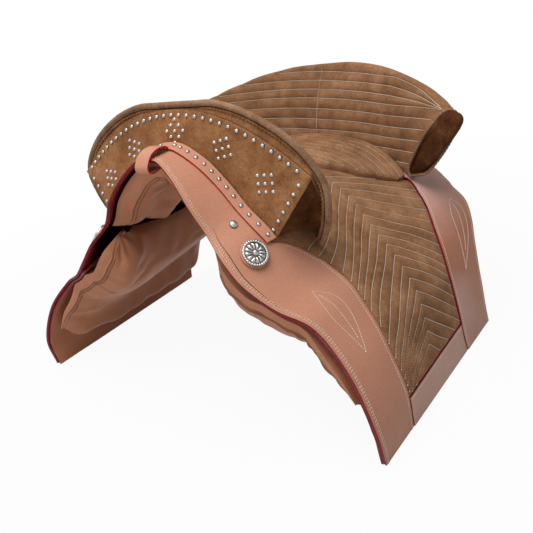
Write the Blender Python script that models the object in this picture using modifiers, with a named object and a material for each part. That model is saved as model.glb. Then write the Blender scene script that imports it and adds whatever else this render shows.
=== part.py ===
"""Pony saddle: stuffed panels, tree, hinged leather flaps, studded pommel and quilted cantle.

Metres, +Z up, +X the saddle's left side, the front faces -Y.  The origin is on the floor below the
middle.  The outer leather follows one surface, given by four cross-sections: a place on it is
u (metres behind the flap's front tip) and t (0 at the top centre, 11 at the flap's bottom edge).
Every layer is that surface moved inwards by a depth.
"""
import math

import bmesh
import bpy
from mathutils import Matrix, Vector

# Driving dimensions, metres
FRONT_TIP_Y = -0.2528
OUTER_LEATHER = 0.0040
SEAM_GAP = 0.0005
LAYER_GAP = 0.0009
SEAT_CLEARANCE = 0.0004
FLOOR_CLEARANCE = 0.0020
SWEAT_LEATHER = 0.0030
SWEAT_EDGE_DEPTH = 0.0056
POCKET_DEPTH = 0.0102
TREE_THICKNESS = 0.0100
PLATE_THICKNESS = 0.0025
WEBBING_THICKNESS = 0.0020
LINING_THICKNESS = 0.0180
PANEL_CLEARANCE = 0.0024
PANEL_THICKNESS = 0.0400
PANEL_SLACK = 0.0120
FACE_THICKNESS = 0.0020
FACE_GAP = 0.0013
FACE_LIFT = 0.0026
WELT_REAR_GAP = FACE_THICKNESS + FACE_GAP + 2.5 * LAYER_GAP
WELT_WIDTH = 0.0120
WELT_THICKNESS = 0.0025
RIM_RADIUS = 0.0050
RIM_GAP = 0.0005
STUD_RADIUS = 0.0030
STUD_HEIGHT = 0.0018
STUD_SINK = 0.0008
STUD_PITCH = 0.0128
GROUP_PITCH = 0.0105
CONCHO_RADIUS = 0.0180
CONCHO_HEIGHT = 0.0050
WASHER_RADIUS = 0.0195
WASHER_THICKNESS = 0.0025
WASHER_LIFT = 0.0013
RIVET_RADIUS = 0.0055
RIVET_HEIGHT = 0.0030
LOOP_WIDTH = 0.0240
LOOP_THICKNESS = 0.0030
BILLET_WIDTH = 0.0260
BILLET_THICKNESS = 0.0030
BILLET_DEPTH = 0.0080
BAR_LENGTH = 0.0760
BAR_HEIGHT = 0.0160
BAR_STEEL = 0.0020
BAR_GAP = 0.0042
BAR_CLEARANCE = 0.0020
BAR_INSET = 0.0014
CATCH_GAP = 0.0003
CATCH_WIDTH = 0.0050
SEAT_EDGE_HEIGHT = 0.0060
SEAT_REAR_RISE = 0.0160
SEAT_CROWN = 0.0040
SEAT_CHANNELS = 6
CANTLE_CHANNELS = 8
CHANNEL_DEPTH = 0.0016
CANTLE_BACK_LEATHER = 0.0030

# Cross-sections of the outer surface: (x, z) from the top centre down to the bottom edge
SECTION_AT = (0.0, 0.09, 0.20, 0.40)
SECTIONS = (
    ((0, .366), (.020, .3635), (.049, .340), (.0737, .3106), (.0948, .2727), (.1245, .250),
     (.155, .2195), (.1926, .189), (.239, .165), (.289, .118), (.3197, .055), (.3238, 0)),
    ((0, .370), (.023, .3665), (.055, .347), (.0830, .3205), (.1130, .2900), (.1480, .258),
     (.1735, .2200), (.2010, .1925), (.243, .168), (.290, .122), (.3180, .060), (.3238, 0)),
    ((0, .288), (.034, .2870), (.070, .282), (.1020, .2710), (.1330, .2560), (.1600, .240),
     (.1850, .2190), (.2140, .196), (.250, .172), (.292, .128), (.3160, .064), (.3238, 0)),
    ((0, .268), (.042, .2660), (.084, .261), (.1180, .2540), (.1520, .2445), (.1830, .232),
     (.212, .215), (.2380, .199), (.263, .180), (.290, .140), (.3120, .068), (.3238, 0)),
)
LAST_T = 11.0
CENTRE_T = 0.04
U_LINES = [0.01 * i for i in range(21)] + [0.225, 0.25, 0.3, 0.35, 0.4, 0.425]
T_LINES = [0.5 * i for i in range(-22, 23)]

# Outlines drawn on that surface: (t or share of the drop, u)
FRONT_EDGE = ((0, .037), (1, .0365), (2, .0275), (3, .0186), (4, .0172), (5, .005), (6, .0015),
              (7, .0084), (8, .0174), (9, .0045), (10, -.006), (11, 0))
ARCH_REAR = ((0, .0925), (1, .0915), (2, .088), (3, .083), (4, .078), (5, .075), (5.3, .075))
POMMEL_FOOT = ((5.3, .0755), (5.45, .087), (5.85, .115), (6.4, .130), (6.7, .135))
SEAT_SEAM = ((0, .302), (1, .305), (2.1, .312), (3.2, .325), (4.05, .333), (4.4, .342),
             (5.0, .358), (5.4, .369), (6.9, .369))
SEAT_REAR = ((0, .4345), (2, .4315), (3, .4255), (4, .4105), (5, .3945), (5.4, .387))
REAR_LEATHER = ((5.4, .391), (5.75, .390), (6.1, .382), (6.5, .371), (6.9, .366))
REAR_EDGE_UP = ((0, .486), (2, .484), (4, .476), (5, .468), (5.85, .460), (6.55, .450), (6.95, .445))
FRONT_STRIP = ((0, .135), (.10, .135), (.21, .125), (.29, .1235), (.42, .107), (.50, .100),
               (.60, .090), (.74, .082), (.82, .080), (1, .080))
REAR_STRIP = ((0, .365), (.084, .35), (.257, .33), (.368, .31), (.452, .30), (.561, .285),
              (.657, .275), (.768, .27), (.889, .27), (1, .281))
REAR_EDGE = ((0, .445), (.09, .440), (.197, .433), (.286, .438), (.371, .433), (.47, .42),
             (.589, .395), (.708, .375), (.825, .365), (1, .363))
BOTTOM_STRIP_AT = 0.833
SKIRT_COLUMNS = (0, .04, .08, .12, .165, .21, .26, .31, .37, .43, .5, .6, .75, .88, 1)

# Flap hinge: the line on the surface where t = HINGE_T + u
HINGE_T = 6.5
HINGE_REAR_U = 0.40
HINGE_GAP_T = 0.012
HINGE_OUT = 0.0016

# Tree: where its pieces lie
ARCH_U = (0.062, 0.1005)
ARCH_T = 5.0
BAR_U = (0.1022, 0.3990)
BAR_T = (2.2, 5.6)
WEBBING_GAP_T = 0.03
CANTLE_ARCH_U = (0.4002, 0.4500)
GULLET_U = (0.066, 0.125)
GULLET_T = 4.1
LINING_U = (0.050, 0.170)
LINING_T = 3.9
PANEL_U = (0.022, 0.430)
PANEL_T = (4.4, 9.75)
SWEAT_TOP = ((5.2, .120, .300), (5.62, .108, .308))
SWEAT_SHOULDER = (6.1, .040, .030)
SWEAT_INSET = (0.002, 0.004)

# Pommel: rim outline (x, y behind the tips, z), face corner and stud row
RIM = ((0, .112, .424), (.036, .112, .4248), (.069, .112, .4243), (.1113, .111, .413),
       (.1535, .110, .3929), (.1879, .110, .370), (.2136, .110, .3438), (.2253, .112, .3201),
       (.2265, .115, .2994), (.2222, .118, .2749), (.2149, .122, .2530), (.2030, .129, .2330),
       (.1935, .134, .2205))
POMMEL_SLICES = (0, .025, .05, .075, .10, .125, .1525, .178, .1955, .2095)
FACE_CORNER = (.2025, .1023, .3247)
FACE_TOP_Z = 0.409
FACE_TOP_Y = 0.108
FACE_TOP_FALL = 2.06
POMMEL_BACK_U = 0.163
POMMEL_END_U = 0.124
END_FACE_U = (0.107, 0.108)
END_FACE_RISE = (0.012, 0.016)
CREST_U = (0.1125, 0.1220)
CREST_FALL = 0.004
STUD_GROUPS = ((0, .388, 45), (.0837, .3644, 12), (.1466, .320, 25))

# Cantle: four edges of the roll, from the centre to the end: (x, u, z)
CANTLE_FOOT = ((0, .4385, .288), (.055, .4385, .283), (.100, .432, .270), (.155, .416, .249),
               (.197, .392, .238))
CANTLE_TOP = ((0, .487, .398), (.065, .481, .399), (.130, .463, .393), (.205, .428, .372),
              (.268, .383, .337))
CANTLE_TOP_BACK = ((0, .508, .392), (.070, .503, .392), (.140, .485, .384), (.220, .447, .358),
                   (.288, .385, .318))
CANTLE_BACK_FOOT = ((0, .482, .2635), (.060, .480, .2615), (.115, .470, .2583), (.175, .440, .2453),
                    (.228, .385, .2340))

# Hardware places on the surface (u, t)
WELT_END_T = 4.94
CONCHO_AT = (0.0437, 5.33)
RIVET_AT = (0.0533, 4.25)
STIRRUP_BAR_U = 0.192
BILLETS_AT = {"front": 0.124, "rear": 0.272}
BILLET_END_T = 9.8
BILLET_TIP_T = 0.25

SIDES = {"left": 1, "right": -1}
COLLECTION = "pony_saddle"
CUTTERS = "pony_saddle_studs"


# Materials
COLOURS = {
    "flap_leather": ((.56, .31, .22), .48, 0.0),
    "lining_leather": ((.38, .22, .13), .55, 0.0),
    "suede": ((.30, .17, .08), .95, 0.0),
    "dark_suede": ((.20, .11, .05), .95, 0.0),
    "wood": ((.60, .44, .26), .60, 0.0),
    "steel": ((.55, .55, .56), .35, 1.0),
    "nickel": ((.75, .75, .76), .22, 1.0),
    "webbing": ((.70, .66, .55), .85, 0.0),
}


def material(name):
    found = bpy.data.materials.get(name)
    if found:
        return found
    colour, roughness, metallic = COLOURS[name]
    made = bpy.data.materials.new(name)
    made.use_nodes = True
    shader = made.node_tree.nodes["Principled BSDF"]
    shader.inputs["Base Color"].default_value = (*colour, 1)
    shader.inputs["Roughness"].default_value = roughness
    shader.inputs["Metallic"].default_value = metallic
    return made


# The outer surface
def spline(points, t):
    """Catmull-Rom curve through the points; t counts them from 0."""
    last = len(points) - 1
    i = min(max(int(math.floor(t)), 0), last - 1)
    f = t - i
    p1 = Vector(points[i])
    p2 = Vector(points[i + 1])
    p0 = Vector(points[i - 1]) if i > 0 else 2 * p1 - p2
    p3 = Vector(points[i + 2]) if i + 2 <= last else 2 * p2 - p1
    return 0.5 * (2 * p1 + (p2 - p0) * f + (2 * p0 - 5 * p1 + 4 * p2 - p3) * f * f
                  + (3 * p1 - p0 - 3 * p2 + p3) * f ** 3)


def along(outline, at):
    """Value of an outline of (place, value) pairs, straight between its points."""
    if at <= outline[0][0]:
        return outline[0][1]
    for (a, va), (b, vb) in zip(outline, outline[1:]):
        if at <= b:
            return va + (vb - va) * (at - a) / (b - a)
    return outline[-1][1]


def slope_between(a, b):
    """Slope that keeps a curve through three heights free of overshoot."""
    return 2 * a * b / (a + b) if a * b > 0 else 0.0


def section(u):
    """The twelve (x, z) points of the cross-section at u."""
    i = 0
    while i < len(SECTION_AT) - 2 and u > SECTION_AT[i + 1]:
        i += 1
    span = SECTION_AT[i + 1] - SECTION_AT[i]
    f = (u - SECTION_AT[i]) / span
    points = []
    for k in range(len(SECTIONS[0])):
        pair = []
        for axis in (0, 1):
            value = [s[k][axis] for s in SECTIONS]
            secant = [(value[n + 1] - value[n]) / (SECTION_AT[n + 1] - SECTION_AT[n])
                      for n in range(len(value) - 1)]
            slope = [secant[0]]
            slope += [slope_between(a, b) for a, b in zip(secant, secant[1:])]
            slope.append(secant[-1])
            a, b = value[i], value[i + 1]
            if f > 1:
                pair.append(b + slope[i + 1] * (f - 1) * span)
            elif f < 0:
                pair.append(a + slope[i] * f * span)
            else:
                pair.append((2 * f ** 3 - 3 * f * f + 1) * a + (f ** 3 - 2 * f * f + f) * slope[i] * span
                            + (3 * f * f - 2 * f ** 3) * b + (f ** 3 - f * f) * slope[i + 1] * span)
        points.append(pair)
    return points


def surface(u, t):
    x, z = spline(section(u), abs(t))
    return Vector((math.copysign(x, t) if x else 0.0, FRONT_TIP_Y + u, z))


def normal(u, t):
    step = 0.002
    across = surface(u, t + step) - surface(u, t - step)
    back = surface(u + step, t) - surface(u - step, t)
    return across.cross(back).normalized()


def skin(u, t, depth):
    """Point at a depth below the outer surface, towards the pony."""
    return surface(u, t) - normal(u, t) * depth


def hinge_t(u):
    return HINGE_T + u


def drop_t(u, share):
    """t at a share of the way from the hinge to the bottom edge."""
    return hinge_t(u) + (LAST_T - hinge_t(u)) * share


def surface_z(x, u):
    """Height of the outer surface above a place (x, u) near the top."""
    low, high = 0.0, 7.5
    for _ in range(30):
        middle = (low + high) / 2
        if surface(u, middle).x < x:
            low = middle
        else:
            high = middle
    return surface(u, low).z


# Objects
def keep(obj, colour, smooth_angle=35):
    obj.data.materials.append(material(colour))
    bpy.data.collections[COLLECTION].objects.link(obj)
    if obj.type == "MESH":
        obj.data.shade_smooth()
        obj.data.set_sharp_from_angle(angle=math.radians(smooth_angle))
    return obj


def mesh_object(name, points, faces, colour, origin=None, closed=False):
    centre = Vector(origin) if origin else Vector((0, 0, 0))
    mesh = bpy.data.meshes.new(name)
    mesh.from_pydata([Vector(p) - centre for p in points], [], faces)
    if closed:
        solid = bmesh.new()
        solid.from_mesh(mesh)
        bmesh.ops.recalc_face_normals(solid, faces=solid.faces)
        solid.to_mesh(mesh)
        solid.free()
    obj = bpy.data.objects.new(name, mesh)
    obj.location = centre
    return keep(obj, colour)


def mirrored(point, side):
    return Vector((point[0] * side, point[1], point[2]))


def sheet(name, rows, thickness, colour, side=1, origin=None):
    """Leather or board of even thickness: rows of points on its outer face, then Solidify."""
    columns = len(rows[0])
    points = [mirrored(p, side) for row in rows for p in row]
    faces = []
    for i in range(len(rows) - 1):
        for j in range(columns - 1):
            a = i * columns + j
            face = (a, a + columns, a + columns + 1, a + 1)
            faces.append(face if side > 0 else face[::-1])
    obj = mesh_object(name, points, faces, colour, origin)
    solid = obj.modifiers.new("thickness", "SOLIDIFY")
    solid.thickness = thickness
    solid.offset = -1
    solid.use_quality_normals = True
    return obj


def slab(name, outer, inner, colour, side=1, origin=None):
    """Closed solid between two grids of unlike shape, such as a stuffed panel's two faces."""
    rows, columns = len(outer), len(outer[0])
    count = rows * columns
    points = [mirrored(p, side) for grid in (outer, inner) for row in grid for p in row]
    faces = []
    for i in range(rows - 1):
        for j in range(columns - 1):
            a = i * columns + j
            faces.append((a, a + 1, a + columns + 1, a + columns))
            faces.append((a + count, a + columns + count, a + columns + 1 + count, a + 1 + count))
    loop = [j for j in range(columns - 1)]
    loop += [i * columns + columns - 1 for i in range(rows - 1)]
    loop += [(rows - 1) * columns + j for j in range(columns - 1, 0, -1)]
    loop += [i * columns for i in range(rows - 1, 0, -1)]
    for a, b in zip(loop, loop[1:] + loop[:1]):
        faces.append((b, a, a + count, b + count))
    return mesh_object(name, points, faces, colour, origin, closed=True)


def loft(name, rings, colour, side=1):
    """Closed solid through rings of equal count, with flat ends."""
    count = len(rings[0])
    points = [mirrored(p, side) for ring in rings for p in ring]
    faces = [tuple(range(count))]
    for i in range(len(rings) - 1):
        for j in range(count):
            k = (j + 1) % count
            faces.append((i * count + k, i * count + j, (i + 1) * count + j, (i + 1) * count + k))
    faces.append(tuple((len(rings) - 1) * count + j for j in reversed(range(count))))
    return mesh_object(name, points, faces, colour, closed=True)


def tube(name, points, radius, colour):
    curve = bpy.data.curves.new(name, "CURVE")
    curve.dimensions = "3D"
    curve.bevel_depth = radius
    curve.bevel_resolution = 2
    curve.use_fill_caps = True
    line = curve.splines.new("POLY")
    line.points.add(len(points) - 1)
    for knot, point in zip(line.points, points):
        knot.co = (*point, 1)
    return keep(bpy.data.objects.new(name, curve), colour)


def turned(name, profile, place, axis, colour, steps=20):
    """Disc or dome turned about its own axis, seated at a place on the leather."""
    mesh = bpy.data.meshes.new(name)
    mesh.from_pydata([(r, 0, h) for r, h in profile], [(i, i + 1) for i in range(len(profile) - 1)], [])
    obj = bpy.data.objects.new(name, mesh)
    turn = obj.modifiers.new("turn", "SCREW")
    turn.steps = steps
    turn.render_steps = steps
    turn.use_merge_vertices = True
    turn.merge_threshold = 0.00005
    obj.matrix_world = Matrix.Translation(place) @ axis.to_track_quat("Z", "Y").to_matrix().to_4x4()
    return keep(obj, colour)


def skin_slab(name, places, depth, thickness, colour, side=1, origin=None, floor=None):
    """Layer of even thickness: rows of (u, t) places, at a depth below the outer surface."""
    grids = []
    for level in (depth, depth + thickness):
        grid = [[skin(u, t, level) for u, t in row] for row in places]
        if floor is not None:
            for row in grid:
                for point in row:
                    point.z = max(point.z, floor)
        grids.append(grid)
    return slab(name, grids[0], grids[1], colour, side, origin)


def stations(low, high, lines):
    """The ends and the grid lines between them, so that layers bend at the same places."""
    inside = [v for v in lines if low + 0.2 * (lines[1] - lines[0]) < v < high - 0.2 * (lines[1] - lines[0])]
    return [low] + inside + [high]


def skin_places(u_range, t_range):
    return [[(u, t) for u in stations(*u_range, U_LINES)] for t in stations(*t_range, T_LINES)]


def shares(count):
    return [i / count for i in range(count + 1)]


def span(low, high, count):
    return [low + (high - low) * k for k in shares(count)]


# Leather that lies on the outer surface
def upper_piece(name, left_u, right_u, low_t, columns, colour, side):
    """Fixed leather above the hinge, between two outlines over t; columns are shares across it."""
    places = []
    for t in stations(low_t, HINGE_T, T_LINES):
        row = []
        for j in columns:
            u = left_u(t) + (right_u(t) - left_u(t)) * j
            row.append((u, hinge_t(u) - HINGE_GAP_T if t == HINGE_T else t))
        places.append(row)
    return skin_slab(name, places, 0, OUTER_LEATHER, colour, side)


def lower_piece(name, left_u, right_u, low, high, columns, rows, colour, side, origin):
    """Hinged leather below the hinge, between two outlines over the share of the drop."""
    places = []
    for i in shares(rows):
        share = low + (high - low) * i
        row = []
        for j in shares(columns):
            u = left_u(share) + (right_u(share) - left_u(share)) * j
            row.append((u, drop_t(u, share) + (HINGE_GAP_T if share == 0 else 0)))
        places.append(row)
    return skin_slab(name, places, 0, OUTER_LEATHER, colour, side, origin, FLOOR_CLEARANCE)


def front_edge_t(t):
    return along(FRONT_EDGE, t)


def front_edge_share(share):
    return along(FRONT_EDGE, drop_t(0.0, share))


def arch_rear(t):
    return along(ARCH_REAR, t) if t <= ARCH_REAR[-1][0] else along(POMMEL_FOOT, t)


def seam_u(t):
    return along(SEAT_SEAM, t)


def flap_origin(side):
    """Point of the hinge axis, just outside the fold so that the flap's top edge clears the skirt."""
    return mirrored(surface(0.0, HINGE_T) + Vector((HINGE_OUT, 0, 0)), side)


def make_flaps():
    for word, side in SIDES.items():
        origin = flap_origin(side)
        upper_piece("arch_facing_" + word, front_edge_t, lambda t: arch_rear(t) - SEAM_GAP, CENTRE_T,
                    shares(4), "flap_leather", side)
        upper_piece("side_skirt_" + word, lambda t: arch_rear(t) + SEAM_GAP,
                    lambda t: seam_u(t) - SEAM_GAP, CENTRE_T, SKIRT_COLUMNS, "suede", side)
        upper_piece("rear_skirt_" + word, rear_leather_inner, lambda t: along(REAR_EDGE_UP, t), CENTRE_T,
                    shares(3), "flap_leather", side)
        lower_piece("front_strip_" + word, front_edge_share,
                    lambda s: along(FRONT_STRIP, s) - SEAM_GAP, 0, 1, 3, 14, "flap_leather", side, origin)
        lower_piece("quilted_panel_" + word, lambda s: along(FRONT_STRIP, s) + SEAM_GAP,
                    lambda s: along(REAR_STRIP, s) - SEAM_GAP, 0, BOTTOM_STRIP_AT - 0.004, 5, 11,
                    "suede", side, origin)
        lower_piece("bottom_strip_" + word, lambda s: along(FRONT_STRIP, s) + SEAM_GAP,
                    lambda s: along(REAR_STRIP, s) - SEAM_GAP, BOTTOM_STRIP_AT, 1, 5, 2,
                    "flap_leather", side, origin)
        lower_piece("rear_strip_" + word, lambda s: along(REAR_STRIP, s) + SEAM_GAP,
                    lambda s: along(REAR_EDGE, s), 0, 1, 3, 12, "flap_leather", side, origin)


def rear_leather_inner(t):
    if t < SEAT_REAR[-1][0]:
        return along(SEAT_REAR, t) + 2 * SEAM_GAP
    return along(REAR_LEATHER, t) + SEAM_GAP


def pocket(u, t):
    """Share of the pocket's depth at a place between the flap and the sweat flap."""
    def ease(a, b, v):
        k = min(max((v - a) / (b - a), 0), 1)
        return k * k * (3 - 2 * k)
    return ease(0.035, 0.095, u) * ease(0.372, 0.315, u) * (1 - 0.9 * ease(9.6, 10.9, t))


def sweat_depth(u, t):
    return SWEAT_EDGE_DEPTH + POCKET_DEPTH * pocket(u, t)


def sweat_outline():
    """Rows of the sweat flap: t, its front u and its rear u; it tucks up under the tree bar."""
    rows = list(SWEAT_TOP)
    shoulder, front_in, rear_in = SWEAT_SHOULDER
    for t in [shoulder] + [v for v in T_LINES if v >= HINGE_T]:
        share = max((t - HINGE_T) / (LAST_T - HINGE_T), 0)
        front = front_edge_share(share) + SWEAT_INSET[0]
        rear = along(REAR_EDGE, share) - SWEAT_INSET[1]
        if t == shoulder:
            front += front_in
            rear -= rear_in
        rows.append((t, front, rear))
    return rows


def make_sweat_flaps():
    for word, side in SIDES.items():
        outer, inner = [], []
        for t, front, rear in sweat_outline():
            out_row, in_row = [], []
            for u in span(front, rear, 9):
                depth = sweat_depth(u, t)
                for row, level in ((out_row, depth), (in_row, depth + SWEAT_LEATHER)):
                    row.append(skin(u, t, level))
                    if t == LAST_T:
                        row[-1].z = 0
            outer.append(out_row)
            inner.append(in_row)
        slab("sweat_flap_" + word, outer, inner, "flap_leather", side)


# Stuffed panels and the padded arch lining
def swell(share, blunt):
    """Thickness of a stuffed edge-to-edge section: blunt ends, full middle."""
    return blunt + (1 - blunt) * math.sqrt(max(0.0, 1 - (2 * share - 1) ** 4))


def make_panels():
    for word, side in SIDES.items():
        outer, inner = [], []
        for i in shares(10):
            out_row, in_row = [], []
            u = PANEL_U[0] + (PANEL_U[1] - PANEL_U[0]) * i
            top = skin(u, PANEL_T[0], SWEAT_EDGE_DEPTH)
            end = skin(u, PANEL_T[1], SWEAT_EDGE_DEPTH)
            chord = end - top
            inward = Vector((chord.z, 0, -chord.x)).normalized()
            for j in shares(8):
                t = PANEL_T[0] + (PANEL_T[1] - PANEL_T[0]) * j
                depth = max(sweat_depth(u, t), tree_floor(t)) + SWEAT_LEATHER + PANEL_CLEARANCE
                slack = PANEL_SLACK * math.exp(-((t - 8.5) / 0.75) ** 2) * (1 - pocket(u, t))
                point = skin(u, t, depth + slack)
                full = swell(j, 0.35) * (0.55 + 0.45 * math.sqrt(max(0.0, 1 - (2 * i - 1) ** 6)))
                out_row.append(point)
                in_row.append(point + inward * PANEL_THICKNESS * full)
            outer.append(out_row)
            inner.append(in_row)
        slab("panel_" + word, outer, inner, "lining_leather", side)


def tree_floor(t):
    """Depth of the underside of the tree, where it lies over the panel."""
    if t > BAR_T[1] + 0.5:
        return 0.0
    return OUTER_LEATHER + 2 * LAYER_GAP + TREE_THICKNESS


def make_lining():
    depth = OUTER_LEATHER + 3 * LAYER_GAP + TREE_THICKNESS + PLATE_THICKNESS
    outer, inner = [], []
    for row in skin_places(LINING_U, (-LINING_T, LINING_T)):
        out_row, in_row = [], []
        for u, t in row:
            across = (t + LINING_T) / (2 * LINING_T)
            back = (u - LINING_U[0]) / (LINING_U[1] - LINING_U[0])
            full = swell(across, 0.4) * swell(back, 0.45)
            out_row.append(skin(u, t, depth))
            in_row.append(skin(u, t, depth + LINING_THICKNESS * full))
        outer.append(out_row)
        inner.append(in_row)
    slab("arch_lining", outer, inner, "lining_leather")


# The tree
def make_tree():
    depth = OUTER_LEATHER + LAYER_GAP
    skin_slab("tree_pommel_arch", skin_places(ARCH_U, (-ARCH_T, ARCH_T)), depth, TREE_THICKNESS, "wood")
    skin_slab("tree_cantle_arch", skin_places(CANTLE_ARCH_U, (-ARCH_T, ARCH_T)), depth, TREE_THICKNESS,
              "wood")
    skin_slab("gullet_plate", skin_places(GULLET_U, (-GULLET_T, GULLET_T)),
              depth + TREE_THICKNESS + LAYER_GAP, PLATE_THICKNESS, "steel")
    web_t = BAR_T[0] - WEBBING_GAP_T
    skin_slab("seat_webbing", skin_places(BAR_U, (-web_t, web_t)), depth, WEBBING_THICKNESS, "webbing")
    for word, side in SIDES.items():
        skin_slab("tree_bar_" + word, skin_places(BAR_U, BAR_T), depth, TREE_THICKNESS, "wood", side)


# Seat and cantle
def make_seat():
    rows = 2 * SEAT_CHANNELS
    outer, inner = [], []
    edge_t = SEAT_REAR[-1][0] - 0.1
    for i in shares(18):
        t = -edge_t + 2 * edge_t * i
        out_row, in_row = [], []
        for j in range(rows + 1):
            k = j / rows
            front = seam_u(abs(t)) + SEAM_GAP
            rear = along(SEAT_REAR, abs(t)) - SEAM_GAP
            u = front + (rear - front) * k
            across = 1 - (t / edge_t) ** 2
            height = SEAT_EDGE_HEIGHT + SEAT_REAR_RISE * k * across + SEAT_CROWN * across
            height -= CHANNEL_DEPTH * (j % 2 == 0)
            lift = normal(u, t)
            lift.y = 0
            out_row.append(surface(u, t) + lift.normalized() * height)
            in_row.append(skin(u, t, OUTER_LEATHER - LAYER_GAP))
        outer.append(out_row)
        inner.append(in_row)
    slab("seat_cushion", outer, inner, "suede")


def edge_point(edge, share):
    point = spline(edge, share * (len(edge) - 1))
    return Vector((point[0], FRONT_TIP_Y + point[1], point[2]))


def make_cantle():
    rings, back_out, back_in = [], [], []
    for step in span(-1, 1, 20):
        share, side = abs(step), 1 if step >= 0 else -1
        foot = edge_point(CANTLE_FOOT, share)
        top = edge_point(CANTLE_TOP, share)
        top_back = edge_point(CANTLE_TOP_BACK, share)
        back_foot = edge_point(CANTLE_BACK_FOOT, share)
        low = Vector((foot.x, foot.y, foot.z))
        rest = surface_z(foot.x, foot.y - FRONT_TIP_Y) + LAYER_GAP
        low.z = max(rest, foot.z - 0.030)
        ring = [low]
        outward = (top - foot).cross(top_back - top).normalized()
        across = (top_back - top).normalized()
        for j in range(2 * CANTLE_CHANNELS + 1):
            k = j / (2 * CANTLE_CHANNELS)
            point = foot.lerp(top, k) - across * 0.010 * math.sin(math.pi * k) * 0.6
            if j % 2 == 0 and 0 < j < 2 * CANTLE_CHANNELS:
                point += across * CHANNEL_DEPTH
            ring.append(point)
        ring.append((top + top_back) / 2 + (top - foot).normalized() * 0.006)
        ring.append(top_back)
        ring.append(top_back.lerp(back_foot, 0.5) + across * 0.004)
        ring.append(back_foot)
        rings.append([mirrored(p, side) for p in ring])
    rings = [ring[::-1] for ring in rings]
    loft("cantle_bolster", rings, "suede")
    for step in span(-0.96, 0.96, 16):
        share, side = abs(step), 1 if step >= 0 else -1
        top_back = edge_point(CANTLE_TOP_BACK, share)
        back_foot = edge_point(CANTLE_BACK_FOOT, share)
        across = (top_back - edge_point(CANTLE_TOP, share)).normalized()
        back = Vector((across.x, across.y, 0)).normalized()
        row_out, row_in = [], []
        for k in (0.06, 0.5, 0.97):
            bulge = 0.004 * math.sin(math.pi * k) + 0.0022
            point = top_back.lerp(back_foot, k) + across * bulge
            row_in.append(mirrored(point, side))
            row_out.append(mirrored(point + back * CANTLE_BACK_LEATHER, side))
        back_out.append(row_out)
        back_in.append(row_in)
    slab("cantle_back", back_in, back_out, "flap_leather")


# Pommel
def arch_line(x):
    """Point where the pommel's face meets the arch leather, at a distance x from the centre."""
    low, high = 0.0, ARCH_REAR[-1][0]
    for _ in range(30):
        middle = (low + high) / 2
        if surface(along(ARCH_REAR, middle), middle).x < x:
            low = middle
        else:
            high = middle
    return surface(along(ARCH_REAR, low), low)


def face_bottom(x):
    """Lower edge of the face: the arch line, then the slanting side up to the corner."""
    end = arch_line(1.0)
    if x <= end.x:
        return arch_line(x) + Vector((0, 0, FACE_LIFT))
    corner = Vector((FACE_CORNER[0], FRONT_TIP_Y + FACE_CORNER[1], FACE_CORNER[2]))
    return (end + Vector((0, 0, FACE_LIFT))).lerp(corner, min((x - end.x) / (corner.x - end.x), 1))


def face_top(x):
    return Vector((x, FRONT_TIP_Y + FACE_TOP_Y - 0.14 * x * x, FACE_TOP_Z - FACE_TOP_FALL * x * x))


def face_point(x, z):
    """Point on the face's front at a height."""
    low, top = face_bottom(abs(x)), face_top(abs(x))
    point = low.lerp(top, (z - low.z) / (top.z - low.z))
    return Vector((x, point.y, z))


def rim_inset(inset):
    """Rim outline moved inwards, from the centre round to the lower end."""
    line = []
    for i, point in enumerate(RIM):
        before = Vector(RIM[max(i - 1, 0)])
        after = Vector(RIM[min(i + 1, len(RIM) - 1)])
        run = after - before
        inward = Vector((run.z, 0, -run.x)).normalized()
        if i == 0:
            inward = Vector((0, 0, -1))
        line.append(Vector((point[0], FRONT_TIP_Y + point[1], point[2])) + inward * inset)
    return line


def rim_height(x, upper):
    line = rim_inset(2 * RIM_RADIUS + RIM_GAP)
    turn = max(range(len(line)), key=lambda i: line[i].x)
    part = line[:turn + 1] if upper else line[turn:][::-1]
    return along([(p.x, p.z) for p in part], x)


def pommel_ring(x):
    a = abs(x)
    low = face_bottom(a)
    top = face_top(a)
    if a > FACE_CORNER[0]:
        middle = (rim_height(a, True) + rim_height(a, False)) / 2
        low = Vector((a, FRONT_TIP_Y + END_FACE_U[0], middle + END_FACE_RISE[0]))
        top = Vector((a, FRONT_TIP_Y + END_FACE_U[1], middle + END_FACE_RISE[1]))
    side_share = min(max((a - arch_line(1.0).x) / (POMMEL_SLICES[-1] - arch_line(1.0).x), 0), 1)
    rear_u = POMMEL_BACK_U + (POMMEL_END_U - POMMEL_BACK_U) * side_share
    ring = []
    for k in shares(8):
        u = (low.y - FRONT_TIP_Y) * (1 - k) + rear_u * k
        z = surface_z(a, u) + FACE_LIFT
        if a > arch_line(1.0).x:
            z = max(z, low.z + (rim_height(a, False) - low.z) * k)
        ring.append(Vector((x, FRONT_TIP_Y + u, z if k else low.z)))
    crest = rim_height(a, True)
    middle_u = POMMEL_END_U + (rear_u - POMMEL_END_U) * 0.45
    ring.append(Vector((x, FRONT_TIP_Y + middle_u, (crest + ring[-1].z) / 2 + CREST_FALL)))
    ring.append(Vector((x, FRONT_TIP_Y + CREST_U[1], crest - CREST_FALL)))
    ring.append(Vector((x, FRONT_TIP_Y + CREST_U[0], crest)))
    ring.append(Vector((x, top.y, top.z)))
    return ring


def pommel_stations():
    return [-x for x in reversed(POMMEL_SLICES[1:])] + list(POMMEL_SLICES)


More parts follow.
